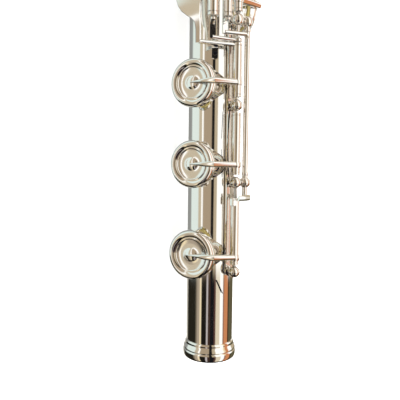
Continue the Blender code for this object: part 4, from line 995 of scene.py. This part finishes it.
rings = []
for share in (0, 0.04, 0.1, 0.25, 0.45, 0.65, 0.82, 0.93, 0.98, 1.0):
    drop = 0.45 * MM * max(0, share - 0.8) / 0.2 + (0.35 * MM if share == 0 else 0)
    rings.append([lip_point(x, y, 13.6 * MM - drop) for x, y in oval(39.8 * MM, 11.9 * MM, share)])
for share in (1.0, 0.93, 0.6, 0.3, 0.0):
    rings.append([lip_point(x, y, 12.62 * MM) for x, y in oval(39.6 * MM, 11.8 * MM, share)])
shape = Shape()
shape.shell(rings, closed=True)
shape.done("lip_plate_skin", "head_joint", KEYS, "lip_plate")

rings = []
for radius, grow in ((12.3, 1.25), (11.6, 1.0), (10.6, 1.1), (9.95, 1.3)):
    wide, high = 1 + grow * MM / (6 * MM), 1 + grow * MM / (5.1 * MM)
    points = [(x * wide, y * high) for x, y in oval(6 * MM, 5.1 * MM, 0)]
    rings.append([lip_point(x, y, radius * MM) for x, y in points])
for radius in (9.95, 12.3):
    rings.append([lip_point(x, y, radius * MM) for x, y in oval(6 * MM, 5.1 * MM, 0)])
shape = Shape()
shape.shell(rings, closed=True)
shape.done("riser_skin", "head_joint", SILVER, "riser")

crown_start = head_high
crown = Matrix.Translation(on_tube(crown_start, 0, 0)) @ Matrix.Rotation(-90 * DEG, 4, "Y")
shape = Shape()
shape.lathe(
    [
        (0, 10.5 * MM), (2.2 * MM, 10.45 * MM), (4.6 * MM, 10.1 * MM), (6.6 * MM, 9.4 * MM),
        (8.2 * MM, 8.3 * MM),
        (9.2 * MM, 7.2 * MM), (9.75 * MM, 6.3 * MM), (9.6 * MM, 6.0 * MM), (9.9 * MM, 5.7 * MM),
        (10.15 * MM, 4.9 * MM), (10.2 * MM, 4.0 * MM), (10.15 * MM, 2.6 * MM), (9.9 * MM, 2.0 * MM),
        (9.7 * MM, 1.8 * MM), (9.9 * MM, 1.5 * MM), (10.0 * MM, 0.9 * MM), (9.8 * MM, 0.36 * MM),
        (8.36 * MM, 0.34 * MM), (8.36 * MM, -5.5 * MM), (2.1 * MM, -5.5 * MM), (2.1 * MM, 4.7 * MM),
        (0, 4.7 * MM),
    ],
    crown, 96,
)
shape.done("crown_skin", "crown", KEYS, "crown")

for node, finish in (("stopper_cork", CORK), ("stopper_screw", STEEL)):
    cad = frame["nodes"][node]
    cad.data.materials.clear()
    cad.data.materials.append(finish)


# Stage: floor, light and camera

def stage_plane(name, corners, finish):
    mesh = bpy.data.meshes.new(name)
    mesh.from_pydata(corners, [], [tuple(range(len(corners)))])
    made = bpy.data.objects.new(name, mesh)
    bpy.context.scene.collection.objects.link(made)
    mesh.materials.append(finish)
    return made


half = 4.0
paper, _, _ = principled("pale_paper", (0.97, 0.97, 0.965), 0.0, 0.9)
floor = stage_plane("floor", [(-half, -half, 0), (half, -half, 0), (half, half, 0), (-half, half, 0)], paper)
floor.visible_glossy = False


def painted_reflection_finish(bands_near, bands_far):
    """Painted reflections: glowing colour bands that change around the tube, and from the foot end's side to
    the rest.
    """
    made = bpy.data.materials.new("painted_reflection_bands")
    made.use_nodes = True
    tree = made.node_tree
    tree.nodes.clear()
    place = tree.nodes.new("ShaderNodeTexCoord")
    parts = tree.nodes.new("ShaderNodeSeparateXYZ")
    tree.links.new(place.outputs["Object"], parts.inputs["Vector"])
    around = tree.nodes.new("ShaderNodeMath")
    around.operation = "ARCTAN2"
    tree.links.new(parts.outputs["Y"], around.inputs[0])
    tree.links.new(parts.outputs["Z"], around.inputs[1])
    share = tree.nodes.new("ShaderNodeMapRange")
    share.inputs["From Min"].default_value = -math.pi
    share.inputs["From Max"].default_value = math.pi
    tree.links.new(around.outputs["Value"], share.inputs["Value"])

    def band_colours(bands):
        stops = []
        for low, high, colour in bands:
            stops.append(((low + 180) / 360, colour))
            stops.append(((high + 180) / 360, colour))
        return ramp(tree, share.outputs["Result"], stops)

    step = tree.nodes.new("ShaderNodeMapRange")
    step.interpolation_type = "SMOOTHSTEP"
    step.inputs["From Min"].default_value = 0.055
    step.inputs["From Max"].default_value = 0.085
    tree.links.new(parts.outputs["X"], step.inputs["Value"])
    mix = tree.nodes.new("ShaderNodeMix")
    mix.data_type = "RGBA"
    tree.links.new(step.outputs["Result"], mix.inputs["Factor"])
    tree.links.new(band_colours(bands_far), mix.inputs["A"])
    tree.links.new(band_colours(bands_near), mix.inputs["B"])
    glow = tree.nodes.new("ShaderNodeEmission")
    out = tree.nodes.new("ShaderNodeOutputMaterial")
    dim = tree.nodes.new("ShaderNodeMapRange")
    dim.interpolation_type = "SMOOTHSTEP"
    dim.inputs["From Min"].default_value = 0.45
    dim.inputs["From Max"].default_value = 0.8
    dim.inputs["To Min"].default_value = 1.0
    dim.inputs["To Max"].default_value = 0.03
    tree.links.new(parts.outputs["X"], dim.inputs["Value"])
    tree.links.new(mix.outputs["Result"], glow.inputs["Color"])
    tree.links.new(dim.outputs["Result"], glow.inputs["Strength"])
    tree.links.new(glow.outputs["Emission"], out.inputs["Surface"])
    return made


# Colours of the painted reflections: bright and dark bands that the plated metal mirrors, standing in for
# the room's light and shade.
NEAR_BLACK = (0.012, 0.010, 0.008)
CREAM = (0.92, 0.78, 0.52)
WHITE = (1.15, 1.15, 1.12)
BROWN = (0.05, 0.028, 0.02)
COPPER = (0.62, 0.25, 0.11)
OLIVE = (0.12, 0.105, 0.06)
TAN = (0.52, 0.43, 0.30)
MINT = (0.78, 0.88, 0.84)
LIGHT_TAN = (0.58, 0.50, 0.37)
foot_painted_reflections = [
    (-180, -118, (0.02, 0.018, 0.012)), (-112, -110, (0.2, 0.17, 0.12)), (-104, -95, (0.42, 0.35, 0.27)),
    (-91, -86, CREAM), (-82, -60, NEAR_BLACK), (-57, -52, (0.55, 0.5, 0.5)), (-49, -40, BROWN),
    (-38, -22, (0.01, 0.01, 0.012)), (-20, -14, (0.10, 0.05, 0.04)),
    (-11, 8, (0.75, 0.66, 0.5)), (10, 24, WHITE), (28, 32, (0.3, 0.15, 0.1)), (35, 56, COPPER),
    (60, 64, (0.02, 0.016, 0.01)), (67, 108, OLIVE), (118, 180, (0.5, 0.48, 0.42)),
]
body_painted_reflections = [
    (-180, -160, (0.30, 0.31, 0.30)), (-150, -132, MINT), (-125, -108, MINT), (-104, -92, LIGHT_TAN),
    (-89, -85, WHITE), (-80, -44, (0.42, 0.33, 0.23)), (-41, -31, (0.014, 0.013, 0.012)), (-28, -16, TAN),
    (-13, 22, WHITE),
    (26, 30, CREAM), (36, 46, COPPER), (52, 70, WHITE), (74, 100, TAN), (110, 140, WHITE),
    (150, 180, (0.30, 0.31, 0.30)),
]
# A glowing tent of painted reflections around the flute, hidden from the camera, diffuse light and shadows,
# so only the metal's reflections show it.
tent_mesh = bmesh.new()
bmesh.ops.create_cone(tent_mesh, cap_ends=True, segments=128, radius1=0.5, radius2=0.5, depth=2.4)
tent_mesh.transform(Matrix.Rotation(90 * DEG, 4, "Y"))
tent_data = bpy.data.meshes.new("tent")
tent_mesh.to_mesh(tent_data)
tent_mesh.free()
tent = bpy.data.objects.new("tent", tent_data)
bpy.context.scene.collection.objects.link(tent)
tent.location = (AXIS.x, AXIS.y, AXIS.z)
tent_data.materials.append(painted_reflection_finish(foot_painted_reflections, body_painted_reflections))
tent.visible_camera = False
tent.visible_diffuse = False
tent.visible_shadow = False
tent.visible_transmission = False


def soft_light(name, place, target, size, power):
    data = bpy.data.lights.new(name, "AREA")
    data.shape = "RECTANGLE"
    data.size, data.size_y = size
    data.energy = power
    made = bpy.data.objects.new(name, data)
    bpy.context.scene.collection.objects.link(made)
    made.location = place
    made.rotation_mode = "QUATERNION"
    made.rotation_quaternion = (Vector(target) - Vector(place)).to_track_quat("-Z", "Y")
    made.visible_glossy = False
    return made


soft_light("overhead", (0.1, 0.0, 1.6), (0.1, 0, 0), (3.0, 3.0), 62)
soft_light("front", (0.3, -1.6, 1.1), (0.2, 0, 0), (2.4, 1.2), 22)
soft_light("rear", (0.3, 1.6, 1.1), (0.2, 0, 0), (2.4, 1.2), 16)

world = bpy.data.worlds.new("studio")
bpy.context.scene.world = world
world.use_nodes = True
world.node_tree.nodes["Background"].inputs["Color"].default_value = (0.93, 0.94, 0.96, 1)
world.node_tree.nodes["Background"].inputs["Strength"].default_value = 0.75

VIEW_ANGLE = -41 * DEG
VIEW_DISTANCE = 205 * MM
SQUARE_STATION = 81.0 * MM
CENTRE_STATION = 67.0 * MM
SIDE_SHIFT = 4.7 * MM
LEAN = 0.65 * DEG
out = Vector((0, math.sin(VIEW_ANGLE), math.cos(VIEW_ANGLE)))
right = Vector((0, math.cos(VIEW_ANGLE), -math.sin(VIEW_ANGLE)))
camera_data = bpy.data.cameras.new("camera")
camera_data.sensor_width = 36
camera_data.lens = 43.3
camera_data.clip_start = 0.01
camera = bpy.data.objects.new("camera", camera_data)
bpy.context.scene.collection.objects.link(camera)
eye = on_tube(SQUARE_STATION, 0, 0) + out * VIEW_DISTANCE - right * SIDE_SHIFT
target = on_tube(CENTRE_STATION, 0, 0) - right * SIDE_SHIFT
ahead = (target - eye).normalized()
top = (-ALONG * math.cos(LEAN) - right * math.sin(LEAN))
top = (top - ahead * top.dot(ahead)).normalized()
side = ahead.cross(top)
turned = Matrix((side, top, -ahead)).transposed().to_4x4()
camera.matrix_world = Matrix.Translation(eye) @ turned
bpy.context.scene.camera = camera
bpy.context.scene.view_settings.view_transform = "Standard"
